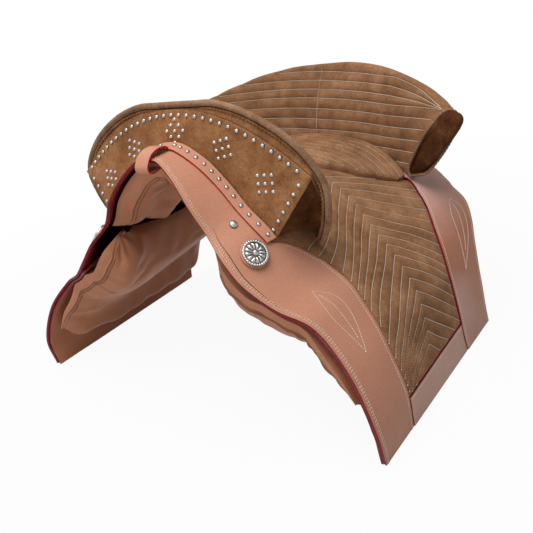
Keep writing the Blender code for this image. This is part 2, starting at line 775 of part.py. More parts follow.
def make_pommel():
    loft("pommel_bolster", [pommel_ring(x)[::-1] for x in pommel_stations()], "dark_suede")
    inside = [x for x in pommel_stations() if abs(x) < FACE_CORNER[0]]
    grids = []
    for lift in (FACE_THICKNESS + FACE_GAP, FACE_GAP):
        rows = []
        for x in inside:
            low, top = face_bottom(abs(x)), face_top(abs(x))
            rows.append([Vector((x, p.y - lift, p.z)) for p in (low, low.lerp(top, .5), top)])
        grids.append(rows)
    face = slab("pommel_face", grids[0], grids[1], "suede")
    add_studs(face, face_studs())
    line = rim_inset(RIM_RADIUS)
    tube("pommel_rim", [mirrored(p, -1) for p in reversed(line[1:])] + line, RIM_RADIUS, "suede")


def stud(target, place, outward):
    turn = outward.to_track_quat("Z", "Y").to_matrix().to_4x4()
    lift = Matrix.Translation(Vector(place) + outward * (STUD_HEIGHT - STUD_SINK) / 2)
    bmesh.ops.create_cone(target, cap_ends=True, segments=6, radius1=STUD_RADIUS,
                          radius2=0.5 * STUD_RADIUS, depth=STUD_HEIGHT + STUD_SINK, matrix=lift @ turn)


def add_studs(carrier, places):
    """Nail-head studs joined to the leather that they are driven into, none touching another."""
    target = bmesh.new()
    driven = []
    for place, outward in places:
        if all((place - other).length > 2.2 * STUD_RADIUS for other in driven):
            stud(target, place, outward)
            driven.append(place)
    name = carrier.name + "_studs"
    mesh = bpy.data.meshes.new(name)
    target.to_mesh(mesh)
    target.free()
    heads = bpy.data.objects.new(name, mesh)
    heads.hide_render = True
    heads.display_type = "WIRE"
    bpy.data.collections[CUTTERS].objects.link(heads)
    join = carrier.modifiers.new("studs", "BOOLEAN")
    join.operation = "UNION"
    join.object = heads


def face_normal(x, z):
    step = 0.002
    across = face_point(x + step, z) - face_point(x - step, z)
    up = face_point(x, z + step) - face_point(x, z - step)
    return across.cross(up).normalized()


def face_studs():
    places = []

    def add(x, z):
        place = face_point(x, z) - Vector((0, FACE_THICKNESS + FACE_GAP, 0))
        places.append((place, face_normal(x, z)))

    edge = 2 * STUD_RADIUS
    x = 0.0
    while x < FACE_CORNER[0] - edge:
        for sign in ((1,) if x == 0 else (1, -1)):
            add(sign * x, face_top(x).z - edge)
        x += STUD_PITCH / math.hypot(1, 2 * FACE_TOP_FALL * x)
    end = arch_line(1.0)
    corner = Vector(FACE_CORNER)
    for k in (0.30, 0.46, 0.62, 0.78):
        for sign in (1, -1):
            a = end.x + (corner.x - end.x) * k
            add(sign * (a - edge), face_bottom(a).z + edge)
    for x, z, turn in STUD_GROUPS:
        for sign in ((1,) if x == 0 else (1, -1)):
            angle = math.radians(turn)
            for i in (-1, 0, 1):
                for j in (-1, 0, 1):
                    dx = GROUP_PITCH * (i * math.cos(angle) - j * math.sin(angle))
                    dz = GROUP_PITCH * (i * math.sin(angle) + j * math.cos(angle))
                    add(sign * (x + dx), z + dz)
    return places


def welt_rows(t_values):
    rows = []
    for t in t_values:
        rear = along(ARCH_REAR, abs(t)) - WELT_REAR_GAP
        rows.append([skin(u, t, -LAYER_GAP - WELT_THICKNESS)
                     for u in span(rear - WELT_WIDTH, rear, 1)])
    return rows


def make_welt():
    end_t = WELT_END_T
    welt = sheet("pommel_welt", welt_rows(span(-end_t, end_t, 22)), WELT_THICKNESS, "flap_leather")
    places = []
    count = 16
    for i in range(-count, count + 1):
        if abs(i) < 2:
            continue
        t = math.copysign(end_t * (abs(i) / (count + 0.6)) ** 0.93, i)
        u = along(ARCH_REAR, abs(t)) - WELT_REAR_GAP - WELT_WIDTH / 2
        places.append((skin(u, t, -LAYER_GAP - WELT_THICKNESS), normal(u, t)))
    add_studs(welt, places)


def make_loop():
    """Leather keeper over the front of the arch, from the welt round to the tree."""
    welt_front = ARCH_REAR[0][1] - WELT_REAR_GAP - WELT_WIDTH - SEAM_GAP
    path = [(welt_front, .3748), (.064, .3790), (.050, .3788), (.038, .3745), (.0300, .3665),
            (.0262, .3590), (.0285, .3520), (.0370, .3495), (.0480, .3515), (ARCH_U[0] - SEAM_GAP, .3540)]
    smooth = [spline(path, t) for t in span(0, len(path) - 1, 18)]
    rows = []
    for y, z in smooth:
        rows.append([Vector((x, FRONT_TIP_Y + y, z)) for x in span(-LOOP_WIDTH / 2, LOOP_WIDTH / 2, 1)])
    sheet("pommel_loop", rows, LOOP_THICKNESS, "flap_leather")


# Metal on the leather
def make_metal():
    dome = [(CONCHO_RADIUS * math.cos(a), CONCHO_HEIGHT * (0.3 + 0.7 * math.sin(a)))
            for a in span(0, math.pi / 2, 4)]
    for word, side in SIDES.items():
        place = surface(*CONCHO_AT)
        outward = normal(*CONCHO_AT)
        seat = place + outward * WASHER_LIFT
        turned("concho_washer_" + word,
               [(0, WASHER_THICKNESS), (WASHER_RADIUS, WASHER_THICKNESS), (WASHER_RADIUS, 0), (0, 0)],
               mirrored(seat, side), mirrored(outward, side), "flap_leather")
        top = seat + outward * (WASHER_THICKNESS + SEAT_CLEARANCE)
        turned("concho_" + word, [(0, CONCHO_HEIGHT)] + dome[::-1][1:] + [(CONCHO_RADIUS, 0), (0, 0)],
               mirrored(top, side), mirrored(outward, side), "nickel")
        rivet = surface(*RIVET_AT) + normal(*RIVET_AT) * LAYER_GAP
        cap = [(RIVET_RADIUS * math.cos(a), RIVET_HEIGHT * (0.3 + 0.7 * math.sin(a)))
               for a in span(0, math.pi / 2, 3)]
        turned("rivet_" + word, [(0, RIVET_HEIGHT)] + cap[::-1][1:] + [(RIVET_RADIUS, 0), (0, 0)],
               mirrored(rivet, side), mirrored(normal(*RIVET_AT), side), "nickel", 12)


# Stirrup bars and girth billets, under the flaps
def local_frame(u, t):
    outward = normal(u, t)
    back = (surface(u + 0.02, t) - surface(u - 0.02, t)).normalized()
    down = outward.cross(back).normalized()
    if down.z > 0:
        down = -down
    return surface(u, t), back, down, outward


def block(name, frame, spans_list, colour, side, origin=None):
    """Solid built of joined blocks in the local frame (back, down, outward)."""
    place, back, down, outward = frame
    target = bmesh.new()
    for ranges in spans_list:
        size = [b - a for a, b in ranges]
        middle = [(a + b) / 2 for a, b in ranges]
        centre = place + back * middle[0] + down * middle[1] + outward * middle[2]
        turn = Matrix((back, down, outward)).transposed().to_4x4()
        bmesh.ops.create_cube(target, size=1,
                              matrix=Matrix.Translation(centre) @ turn @ Matrix.Diagonal((*size, 1)))
    for vert in target.verts:
        vert.co = mirrored(vert.co, side)
    target.normal_update()
    bmesh.ops.recalc_face_normals(target, faces=target.faces)
    if origin:
        bmesh.ops.translate(target, vec=-Vector(origin), verts=target.verts)
    mesh = bpy.data.meshes.new(name)
    target.to_mesh(mesh)
    target.free()
    obj = bpy.data.objects.new(name, mesh)
    if origin:
        obj.location = origin
    return keep(obj, colour)


def below_tree_bar(u, distance):
    """t at a distance down the surface from the tree bar's lower edge."""
    run = (surface(u, BAR_T[1] + 0.5) - surface(u, BAR_T[1])).length / 0.5
    return BAR_T[1] + distance / run


def make_stirrup_bars():
    at_t = below_tree_bar(STIRRUP_BAR_U, BAR_HEIGHT / 2 + BAR_CLEARANCE)
    frame = local_frame(STIRRUP_BAR_U, at_t)
    blade = (-OUTER_LEATHER - BAR_INSET - BAR_STEEL, -OUTER_LEATHER - BAR_INSET)
    plate = (blade[0] - BAR_GAP - BAR_STEEL, blade[0] - BAR_GAP)
    half = BAR_LENGTH / 2
    for word, side in SIDES.items():
        outline = ((-half, plate[0]), (half, plate[0]), (half, plate[1]), (-half + 0.008, plate[1]),
                   (-half + 0.008, blade[0]), (half, blade[0]), (half, blade[1]), (-half, blade[1]))
        place, back, down, outward = frame
        rings = []
        for level in (-BAR_HEIGHT / 2, BAR_HEIGHT / 2):
            rings.append([place + back * a + outward * b + down * level for a, b in outline])
        loft("stirrup_bar_" + word, rings, "steel", side)
        gap = (plate[1] + CATCH_GAP, blade[0] - CATCH_GAP)
        block("bar_catch_" + word, frame,
              [((half - CATCH_WIDTH, half), (-BAR_HEIGHT / 2, BAR_HEIGHT / 2), gap)],
              "steel", side, mirrored(catch_pivot(frame, half), side))


def catch_pivot(frame, half):
    place, back, down, _ = frame
    return place + back * (half - CATCH_WIDTH / 2) + down * (BAR_HEIGHT / 2 - CATCH_WIDTH / 2)


def make_billets():
    for end, middle in BILLETS_AT.items():
        pivot_t = billet_pivot_t(middle)
        pivot = skin(middle, pivot_t, BILLET_DEPTH)
        radius = BILLET_WIDTH / 2
        heads = [pivot_t + (below_tree_bar(middle, SEAT_CLEARANCE) - pivot_t) * math.cos(a)
                 for a in span(math.radians(10), math.radians(80), 4)]
        places = []
        for t in heads + span(pivot_t + 0.1, BILLET_END_T, 12) + [BILLET_END_T + BILLET_TIP_T]:
            above = max(pivot_t - t, 0) / (pivot_t - below_tree_bar(middle, SEAT_CLEARANCE))
            half = radius * (0.5 if t > BILLET_END_T else math.sqrt(1 - above * above))
            places.append([(u, t) for u in span(middle - half, middle + half, 2)])
        for word, side in SIDES.items():
            skin_slab("billet_" + end + "_" + word, places, BILLET_DEPTH, BILLET_THICKNESS, "flap_leather",
                      side, mirrored(pivot, side))


def billet_pivot_t(u):
    return below_tree_bar(u, BILLET_WIDTH / 2 + SEAT_CLEARANCE)


def main():
    for obj in list(bpy.data.objects):
        bpy.data.objects.remove(obj, do_unlink=True)
    for name in (COLLECTION, CUTTERS):
        bpy.context.scene.collection.children.link(bpy.data.collections.new(name))
    make_flaps()
    make_sweat_flaps()
    make_panels()
    make_lining()
    make_tree()
    make_seat()
    make_cantle()
    make_pommel()
    make_welt()
    make_loop()
    make_metal()
    make_stirrup_bars()
    make_billets()


main()
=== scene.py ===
"""Dressed pony saddle: leather, quilted suede, stuffed panels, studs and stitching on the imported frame.

Metres, in the frame of the solids.  The outer leather follows one surface, given by four
cross-sections: a place on it is u (metres behind the flap's front tip) and t (0 at the top centre,
11 at the bottom edge).  Every layer is that surface moved inwards by a depth.
"""

import math

import bpy
import numpy as np
from mathutils import Matrix, Vector
from mathutils.kdtree import KDTree


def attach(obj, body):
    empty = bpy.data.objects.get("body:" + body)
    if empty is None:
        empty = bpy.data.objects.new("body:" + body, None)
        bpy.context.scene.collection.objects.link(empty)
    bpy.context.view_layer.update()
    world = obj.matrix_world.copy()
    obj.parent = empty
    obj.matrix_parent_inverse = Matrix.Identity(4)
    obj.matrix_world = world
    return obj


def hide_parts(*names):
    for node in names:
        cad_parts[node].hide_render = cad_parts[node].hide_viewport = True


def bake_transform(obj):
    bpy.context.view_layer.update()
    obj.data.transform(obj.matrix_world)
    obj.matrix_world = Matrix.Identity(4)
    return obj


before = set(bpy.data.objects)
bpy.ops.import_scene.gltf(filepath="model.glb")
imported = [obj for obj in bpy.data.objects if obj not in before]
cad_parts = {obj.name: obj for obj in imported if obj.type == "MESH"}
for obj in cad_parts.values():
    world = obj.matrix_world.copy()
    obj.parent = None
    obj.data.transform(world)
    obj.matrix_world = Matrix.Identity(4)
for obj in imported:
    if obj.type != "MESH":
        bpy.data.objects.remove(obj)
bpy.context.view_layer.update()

# Cross-sections of the outer surface, as in the solids
FRONT_TIP_Y = -0.2528
SECTION_AT = np.array((0.0, 0.09, 0.20, 0.40))
SECTIONS = np.array((
    ((0, .366), (.020, .3635), (.049, .340), (.0737, .3106), (.0948, .2727), (.1245, .250),
     (.155, .2195), (.1926, .189), (.239, .165), (.289, .118), (.3197, .055), (.3238, 0)),
    ((0, .370), (.023, .3665), (.055, .347), (.0830, .3205), (.1130, .2900), (.1480, .258),
     (.1735, .2200), (.2010, .1925), (.243, .168), (.290, .122), (.3180, .060), (.3238, 0)),
    ((0, .288), (.034, .2870), (.070, .282), (.1020, .2710), (.1330, .2560), (.1600, .240),
     (.1850, .2190), (.2140, .196), (.250, .172), (.292, .128), (.3160, .064), (.3238, 0)),
    ((0, .268), (.042, .2660), (.084, .261), (.1180, .2540), (.1520, .2445), (.1830, .232),
     (.212, .215), (.2380, .199), (.263, .180), (.290, .140), (.3120, .068), (.3238, 0)),
))
LAST_T = 11.0
HINGE_T = 6.5

# Outlines on that surface: (t or share of the drop, u)
FRONT_EDGE = ((0, .037), (1, .0365), (2, .0275), (3, .0186), (4, .0172), (5, .005), (6, .0015),
              (7, .0084), (8, .0174), (9, .0045), (10, -.006), (11, 0))
ARCH_REAR = ((0, .0925), (1, .0915), (2, .088), (3, .083), (4, .078), (5, .075), (5.3, .0762),
             (5.42, .0880), (5.70, .1040), (6.08, .1160), (6.63, .1250))
SEAT_SEAM = ((0, .302), (1, .305), (2.1, .312), (3.2, .325), (4.05, .333), (4.4, .342),
             (5.0, .358), (5.4, .369), (6.9, .369))
QUILT_REAR = ((0, .302), (1, .305), (2.1, .312), (3.2, .325), (4.05, .333), (4.4, .342),
              (5.0, .358), (5.25, .372), (5.45, .386), (5.65, .389), (6.0, .3835), (6.4, .3742),
              (6.87, .3650))
SEAT_REAR = ((0, .4345), (2, .4315), (3, .4255), (4, .4105), (5, .3945), (5.4, .387))
REAR_LEATHER = ((5.4, .391), (5.65, .389), (6.0, .3835), (6.4, .3742), (6.87, .3650))
REAR_EDGE_UP = ((0, .486), (2, .484), (4, .476), (5, .468), (5.85, .460), (6.55, .450), (6.95, .445))
FRONT_STRIP = ((0, .1255), (.10, .1262), (.19, .1240), (.28, .1185), (.44, .1025), (.60, .0870),
               (.75, .0820), (.87, .0802), (1, .0800))
REAR_STRIP = ((0, .3650), (.12, .3525), (.24, .3365), (.35, .3195), (.45, .3030), (.54, .2885),
              (.66, .2765), (.78, .2690), (.90, .2675), (1, .2720))
REAR_EDGE = ((0, .4450), (.10, .4385), (.20, .4362), (.30, .4355), (.38, .4295), (.47, .4165),
             (.59, .3930), (.70, .3765), (.83, .3660), (1, .3630))
BOTTOM_STRIP_AT = 0.833

# Layers
LEATHER = 0.0040
SPLIT = 0.0004
SEAM_GAP = 0.0005
LAYER_GAP = 0.0009
STRIP_RISE = 0.0008
REAR_RISE = 0.0018
SWEAT_LEATHER = 0.0030
SWEAT_EDGE_DEPTH = 0.0056
POCKET_DEPTH = 0.0102
# Pocket for the panel: where it begins and is complete in u, from its front and from its rear,
# then between which values of t it runs out, and the share of its depth lost there
POCKET_U = ((0.035, 0.095), (0.372, 0.315))
POCKET_T = (9.6, 10.9)
POCKET_LOSS = 0.9
# Sweat flap: t and the u of its front and rear edge at the top, then t and the insets at its shoulder
SWEAT_TOP = ((5.2, .120, .300), (5.62, .108, .308))
SWEAT_SHOULDER = (6.1, .040, .030)
SWEAT_INSET = (0.002, 0.004)
FLOOR_CLEARANCE = 0.0020

# Quilting: apexes of the nested chevrons, in u and in s, the distance down the leather from the top
QUILT_PITCH = 0.0189
QUILT_FIRST = (0.2720, 0.1478)
QUILT_LEAN = 0.40
QUILT_COUNT = 14
QUILT_ABOVE = 2
# Slopes of the legs over the s of their apex; the far one holds past the left leg's bend
RIGHT_SLOPE = ((.10, 1.04), (.145, 1.04), (.21, 1.42), (.25, 1.42), (.30, 1.08), (.39, .75))
LEFT_SLOPE = ((.10, .50), (.145, .54), (.168, .56), (.19, .58), (.244, .57), (.28, .57), (.30, .60),
              (.318, .66), (.336, .75), (.354, .84), (.39, .80))
LEFT_SLOPE_FAR = ((.10, .70), (.145, .77), (.168, .84), (.21, .87), (.244, .88), (.28, .93), (.30, .97),
                  (.318, 1.0), (.336, 1.0), (.354, .98), (.39, .92))
# Start of a left leg's bend, its end on the upper chevrons and on the lower ones, and where those lie
LEFT_BEND = (0.02, 0.15, 0.09)
LOWER_CHEVRONS = (0.24, 0.31)
LONGEST_LEG = 0.20
PUFF = 0.0026
PUFF_POWER = 0.55
GROOVE = 0.0010
QUILT_STITCH_LIFT = -GROOVE + 0.0008
QUILT_EDGE_DROP = 0.0012
QUILT_EDGE_CELLS = 5.0
QUILT_EDGE_POWER = 0.6

# Stuffed panels and arch lining
PANEL_CLEARANCE = 0.0024
PANEL_THICKNESS = (0.0370, 0.0220)
PANEL_SHOULDER = 0.0110
PANEL_BELLY = 0.0110
PANEL_SLACK = 0.0130
PANEL_FRONT = ((4.0, .0300), (4.4, .0190), (4.8, .0110), (5.2, .0070), (5.6, .0055), (6, .0070),
               (7, .0125), (7.9, .0185), (8.8, .0115), (9.55, .0080))
PANEL_REAR = ((4.0, .415), (7.2, .415), (8.0, .396), (8.8, .372), (9.55, .352))
PANEL_T = (4.30, 9.55)
PANEL_TOP_BACK = 0.95
PANEL_LOW_BACK = 0.62
PANEL_LOW_REACH = (1.30, 0.50)
# Lengths over which the panel rounds off: at its front and rear in u, at its top and bottom in t
PANEL_ROUND = (0.030, 0.040, 1.15, 1.30)
PANEL_LENGTH = 0.40
# Counts of places over the first rounding, the middle and the last rounding, along u and along t
PANEL_GRID = ((62, 64, 12), (14, 66, 18))
# Where a change of the panel begins and where it is complete, in u or t
PANEL_TOP_BACK_U = (0.02, 0.12)
PANEL_LOW_BACK_U = (0.008, 0.045)
PANEL_LOW_REACH_U = (0.012, 0.050)
PANEL_BELLY_U = ((0.03, 0.13), (0.40, 0.30))
PANEL_BELLY_T = (4.6, 7.0)
PANEL_SHOULDER_T = ((4.4, 5.1), (8.2, 6.4))
PANEL_SHOULDER_U = (0.12, 0.05)
PANEL_UNDER_TREE_T = (7.0, 6.1)
PANEL_SLACK_T = (7.5, 8.6)
PANEL_THIN_T = (7.6, 9.4)
# How much more the panel's lower end lies back, in t, and between which values of u
PANEL_LOW_BACK_MORE = (0.20, 0.06, 0.13)
# Scallops of the lower edge: share of the thickness, pitch in u, and between which values of t
PANEL_SCALLOP = (0.04, 0.055, 8.3, 9.6)
PANEL_SEAM_AT = 0.38
SEAM_EDGE = 0.004
TREE_THICKNESS = 0.0100
PLATE_THICKNESS = 0.0025
LINING_THICKNESS = 0.0180
LINING_U = (0.0115, 0.168)
LINING_T = 4.10
LINING_SPREAD = 0.12
LINING_FRONT_DEPTH = 0.0085
# Lengths over which the lining rounds off: at its front and rear in u, at its ends in t
LINING_ROUND = (0.022, 0.014, 0.40)
LINING_LENGTH = 0.125
LINING_GRID = ((30, 24, 8), (10, 110, 10))
LINING_SPREAD_U = (0.05, 0.13)
LINING_DEEPER_U = (0.050, 0.060)
LINING_SEAM_AT = 0.80
# Painted-shadow sheet over the front of the tree, as (u, depth), and how much deeper it reaches between two
# values of t
SHADOW_SHEET = ((.0600, .0046), (.0550, .0060), (.0530, .0085), (.0530, .0105))
SHADOW_SHEET_T = 4.9
SHADOW_SHEET_THICKNESS = 0.0012
SHADOW_SHEET_DEEPER = 0.0195
SHADOW_SHEET_DEEP_T = (3.7, 4.0)
# Painted-shadow sheets under the bars, in the gap between the lining and the panels: u, t, depth and
# thickness
BAR_SHADOW_U = (0.051, 0.300)
BAR_SHADOW_T = (3.0, 5.9)
BAR_SHADOW_DEPTH = 0.0187
BAR_SHADOW_THICKNESS = 0.0006
# Height and half width of a piping, depth of the valleys beside it, their distance and half width
PIPING = (0.0011, 0.0011, 0.0015, 0.0024, 0.0008)
# Small gathers beside the seam: depth, reach and their count for each unit of t
GATHERS = (0.0008, 0.014, 2.6)
# Folds that fan out from the panel's upper front corner: depth, reach, clear middle, count over the turn
FAN = (0.0017, 0.060, 0.008, 15)
# t at the seam, length, depth, half width and lean of each crease
CREASES = ((7.62, .070, .0022, .0060, .30), (8.60, .080, .0020, .0065, -.25),
           (9.12, .070, .0016, .0055, .35), (6.60, .050, .0016, .0050, .20), (8.10, .060, .0016, .0045, -.20))

# Cloth simulation of the stuffed pieces
CLOTH_VOXEL = 0.005
CLOTH_FRAMES = 20
CLOTH_PRESSURE = 4.0
CLOTH_SLACK = 0.04
CLOTH_CAP = 0.007
CLOTH_HELD = (0.007, 0.016)
CLOTH_QUALITY = 6
CLOTH_NEIGHBOURS = 5
CLOTH_SMOOTHING = 4

# Seat and cantle
SEAT_EDGE_HEIGHT = 0.0060
SEAT_REAR_RISE = 0.0160
SEAT_CROWN = 0.0040
SEAT_EDGE_T = SEAT_REAR[-1][0] - 0.1
SEAT_GRID = (70, 200)
SEAT_FRONT_ROUND = 0.006
# Share of its height that the seat has at its very front, and the share gained over the rounding
SEAT_FRONT_SHARES = (0.45, 0.55)
SEAT_PUFF = 0.0024
SEAT_GROOVE = 0.0012
ARC_PITCH = 0.0135
SEAT_ARCS = 9
SEAT_ARC_END = 0.004
SEAT_STITCH_LIFT = 0.0004
# Edges of the cantle roll from its centre to its end, as (x, u, height)
CANTLE_FOOT = ((0, .4385, .288), (.055, .4385, .283), (.100, .432, .270), (.155, .416, .249),
               (.197, .392, .238))
CANTLE_TOP = ((0, .487, .398), (.065, .481, .399), (.130, .463, .393), (.205, .428, .372),
              (.268, .383, .337))
CANTLE_TOP_BACK = ((0, .508, .392), (.070, .503, .392), (.140, .485, .384), (.220, .447, .358),
                   (.288, .385, .318))
CANTLE_BACK_FOOT = ((0, .482, .2635), (.060, .480, .2615), (.115, .470, .2583), (.175, .440, .2453),
                    (.228, .385, .2340))
# How far the top is let down, over the share of the way to the end
CANTLE_DROP = ((0, .0035), (.25, .0055), (.45, .0085), (.70, .0090), (.88, .0060), (1, .0030))
CANTLE_ROWS = 9
CANTLE_LEVEL_ROW = 4
# Height of the row CANTLE_LEVEL_ROW, over x
CANTLE_LEVEL = ((-.27, .352), (-.17, .351), (-.10, .3495), (0, .3455), (.095, .338), (.165, .332),
                (.27, .334))
# Pitch of the rows above and below it, and the roll's height at the centre and at the end
CANTLE_PITCH = (0.0142, 0.0168)
CANTLE_ROLL = (0.0065, 0.0120)
CANTLE_END_SWELL = 0.0015
CANTLE_CAP_BULGE = 0.0055
CANTLE_CAP_CROWN = 0.0012
CANTLE_CAP_ROUNDING = 0.0130
CANTLE_BACK_LEATHER = 0.0030
CANTLE_BACK_LIFT = 0.0015
CANTLE_BACK_SHARE = 0.96
# Shares of the way to the end: between each pair the back swells, the roll grows high and the section
# rounds off; between the last two pairs, inwards, the foot and the back leather come down to the skirt
CANTLE_SWELL_AT = (0.72, 1.0)
CANTLE_HIGH_AT = (0.7, 1.0)
CANTLE_ROUND_AT = (0.90, 1.0)
CANTLE_FOOT_DOWN_AT = (0.97, 0.80)
CANTLE_BACK_DOWN_AT = (0.90, 0.72)
# Row on which the near wing's top lies, and the least pitch of the rows drawn in under it
CANTLE_TOP_ROW = 0.9
CANTLE_LEAST_PITCH = 0.0016
CANTLE_BACK_BULGE = (0.004, 0.0022)
CANTLE_BULGE = 0.006
CANTLE_LOW_REACH = 0.030
CANTLE_RINGS = 241
# Seam down the middle of the front: share of the puff that it takes, and its half width
MIDDLE_SEAM = (0.6, 0.0022)
RING_PLACES = 240
# Whip-stitched seams round the end caps: cord radius, its ruffle and pitch
CAP_SEAM = (0.0018, 0.0006, 0.0062)
CAP_STITCH = {"pitch": 0.0062, "length": 0.0042, "radius": 0.00055, "lean": 1.1}

# Pommel
# Rim from the crest to its foot, as (x, u, height)
RIM = ((0, .112, .4268), (.036, .112, .4266), (.069, .112, .4258), (.1113, .111, .4155),
       (.1535, .110, .3960), (.1879, .110, .3720), (.2136, .110, .3438), (.2253, .112, .3201),
       (.2265, .115, .2994), (.2222, .118, .2749), (.2149, .122, .2530), (.2030, .129, .2330),
       (.1935, .134, .2205))
RIM_RADIUS = 0.0050
RIM_SWELL = 0.0044
# Insets of the lines of the painted-shadow sheet behind the rim, a dark strip where shade falls
RIM_SHADOW_SHEET = (0.004, 0.0065, 0.0095, 0.0122, 0.0190)
RIM_SHADOW_SHEET_SET_BACK = 0.0020
RIM_SHADOW_SHEET_THICKNESS = 0.0025
# Least share of the rim's radius, the share that its wrinkles add, and their pitch
RIM_WRINKLES = (0.97, 0.03, 0.009)
RUFFLE_INSET = 0.0118
RUFFLE_SET_BACK = -0.0012
RUFFLE_RADIUS = 0.0016
RUFFLE_PITCH = 0.0060
RUFFLE_WAVE = 0.0008
RUFFLE_SWELL = 0.22
RUFFLE_STITCH = {"pitch": RUFFLE_PITCH, "length": 0.0036, "radius": 0.00048, "lean": 1.15}
POMMEL_END_X = 0.2138
# x of the sections of half the body: from, to and count, closer together near its end
POMMEL_STATIONS = ((0, .178, 60), (.18, .2095, 20))
FACE_CORNER = (.2125, .1045, .3270)
FACE_FOOT = ((0, .0950), (1.5, .0945), (2.3, .0945), (3.3, .0925), (4.3, .0875), (5.3, .0850))
FACE_TOP_Z = 0.4165
FACE_TOP_Y = 0.108
FACE_TOP_FALL = 1.98
FACE_TOP_BOW = 0.14
FACE_THICKNESS = 0.0020
FACE_GAP = 0.0013
FACE_LIFT = 0.0026
FACE_PILLOW = 0.0012
FACE_SEAM_X = 0.208
FACE_SEAM_DOWN = 0.0022
FACE_SIDE_STUDS = (0.07, 0.215, 0.36, 0.505, 0.65, 0.795)
POMMEL_BACK_U = 0.163
POMMEL_BACK_END_U = 0.124
# Past the face's corner: (u, height over the middle of the rim) of the body's lower and upper front edge
POMMEL_TIP = ((0.107, 0.012), (0.1085, 0.016))
# Back of the body: place and lift of its middle, and (u, height from the crest) of its upper end
POMMEL_BACK_MIDDLE = (0.45, 0.004)
POMMEL_CREST = ((0.122, -0.004), (0.1125, 0))
# x, height and turn in degrees of each group of nine studs
STUD_GROUPS = ((0, .3895, 45), (.0837, .3644, 12), (.1466, .320, 2))
STUD_MIDDLE_X = 0.0060
STUD_RADIUS = 0.0030
STUD_HEIGHT = 0.0022
# A nail head's brim: share of the radius, then its lower and upper edge as shares of the height
STUD_BRIM = (1.12, -0.3, 0.04)
STUD_SINK = 0.0006
STUD_PITCH = 0.0140
GROUP_PITCH = 0.0105
WELT_FRONT = ((0, .0728), (1.3, .0712), (2.1, .0717), (3.0, .0722), (4.0, .0697), (4.9, .0662),
              (5.3, .0668))
WELT_REAR = ((0, .0905), (1.5, .0900), (2.3, .0900), (3.3, .0880), (4.3, .0832), (5.3, .0808))
WELT_THICKNESS = 0.0025
WELT_END_T = 5.24
# How high the welt's middle and its rear edge rise
WELT_CROWN = (0.0008, 0.0030)
WELT_STUDS = 14
WELT_STUD_LIFT = 0.0012
LOOP_WIDTH = 0.0240
LOOP_THICKNESS = 0.0030
ARCH_FRONT_U = 0.062
LOOP_PATH = ((WELT_FRONT[0][1] - SEAM_GAP, .3748), (.064, .3790), (.050, .3788), (.038, .3745),
             (.0300, .3665), (.0262, .3590), (.0285, .3520), (.0370, .3495), (.0480, .3515),
             (ARCH_FRONT_U - SEAM_GAP, .3540))

# Metal on the leather
CONCHO_AT = (0.0437, 5.33)
CONCHO_RADIUS = 0.0180
CONCHO_HEIGHT = 0.0050
# In shares of its radius: the boss, the middle and reach of the petals, and the inner edge, middle and
# reach of the roped border
BOSS = 0.24
PETALS = (0.52, 0.26)
ROPE = (0.81, 0.90, 0.09)
WASHER_RADIUS = 0.0195
WASHER_THICKNESS = 0.0025
WASHER_LIFT = 0.0013
CONCHO_GAP = 0.0002
RIVET_AT = (0.0533, 4.25)
RIVET_RADIUS = 0.0055
RIVET_HEIGHT = 0.0030

# Stitches, and the painted shade in a quilted seam with its half width as a share of a channel
STITCH_LENGTH = 0.0029
STITCH_PITCH = 0.0040
STITCH_RADIUS = 0.00055
FINE_STITCH = {"pitch": 0.0038, "length": 0.0031, "radius": 0.00062}
STITCH_LIFT = 0.0010
MIDDLE_STITCH_SINK = 0.0004
CAP_STITCH_LIFT = 0.0015
BACK_STITCH_LIFT = 0.0002
SEAM_SHADE = 0.40
SEAM_SHADE_WIDTH = 0.065
CANTLE_MIDDLE_X = 0.0060

# Sewn leaves, in (u, t): top, bottom, outer side, inner side and vein
FRONT_LEAF = ((.0700, 7.22), (.0495, 8.93), ((.0845, 7.70), (.0790, 8.25)), ((.0600, 7.62), (.0500, 8.15)),
              ((.0700, 7.42), (.0695, 7.90), (.0625, 8.35), (.0555, 8.65)))
REAR_LEAF = ((.4050, 7.72), (.3335, 9.50), ((.4120, 8.30), (.3880, 8.95)), ((.3820, 8.15), (.3590, 8.80)),
             ((.4010, 7.95), (.3940, 8.40), (.3740, 8.90), (.3560, 9.20)))
TOOL_LINE = ((.0314, 3.92), (.0223, 4.46), (.0168, 5.04), (.0125, 5.60), (.0119, 6.02), (.0135, 6.54),
             (.0155, 7.14))
TOOL_LINE_PLACES = 90
TOOL_LINE_HALF_WIDTH = 0.0005
TOOL_LINE_DEPTH = 0.0001

# Rows of stitches along the sides' edges: outline above and below the hinge, inset, upper end in t, lift
EDGE_ROWS = ((FRONT_EDGE, None, 0.0050, 0.45, 0.0), (FRONT_EDGE, None, 0.0080, 0.45, 0.0),
             (ARCH_REAR, FRONT_STRIP, -0.006, 5.5, 0.0), (REAR_LEATHER, REAR_STRIP, 0.006, 6.0, REAR_RISE),
             (REAR_EDGE_UP, REAR_EDGE, -0.006, 3.5, REAR_RISE))
EDGE_ROW_PLACES = 160
STRIP_ROW_DOWN = 0.012
STRIP_ROW_INSET = 0.004

# Grids of the side pieces: rows above the hinge, rows below it, columns; the last has rows and columns
FRONT_GRID = (150, 110, 40)
LINED_GRID = (150, 110, 30)
QUILT_GRID = (150, 130, 130)
REAR_GRID = (120, 110, 30)
BOTTOM_GRID = (0, 30, 70)
SWEAT_GRID = (150, 80)
SIDE_TOP_T = 0.006
QUILT_END_GAP = 0.004
QUILT_ROW_INSET = 0.002
ARCH_LINING_INSET = 0.0012
ARCH_LINING_MARGIN = 4
CUT_ROUNDING = 0.0007
THIN_CUT_ROUNDING = 0.0006

SIDES = {"left": 1, "right": -1}


# The surface
def hermite(a, b, slope_a, slope_b, f):
    return ((2 * f ** 3 - 3 * f * f + 1) * a + (f ** 3 - 2 * f * f + f) * slope_a
            + (3 * f * f - 2 * f ** 3) * b + (f ** 3 - f * f) * slope_b)


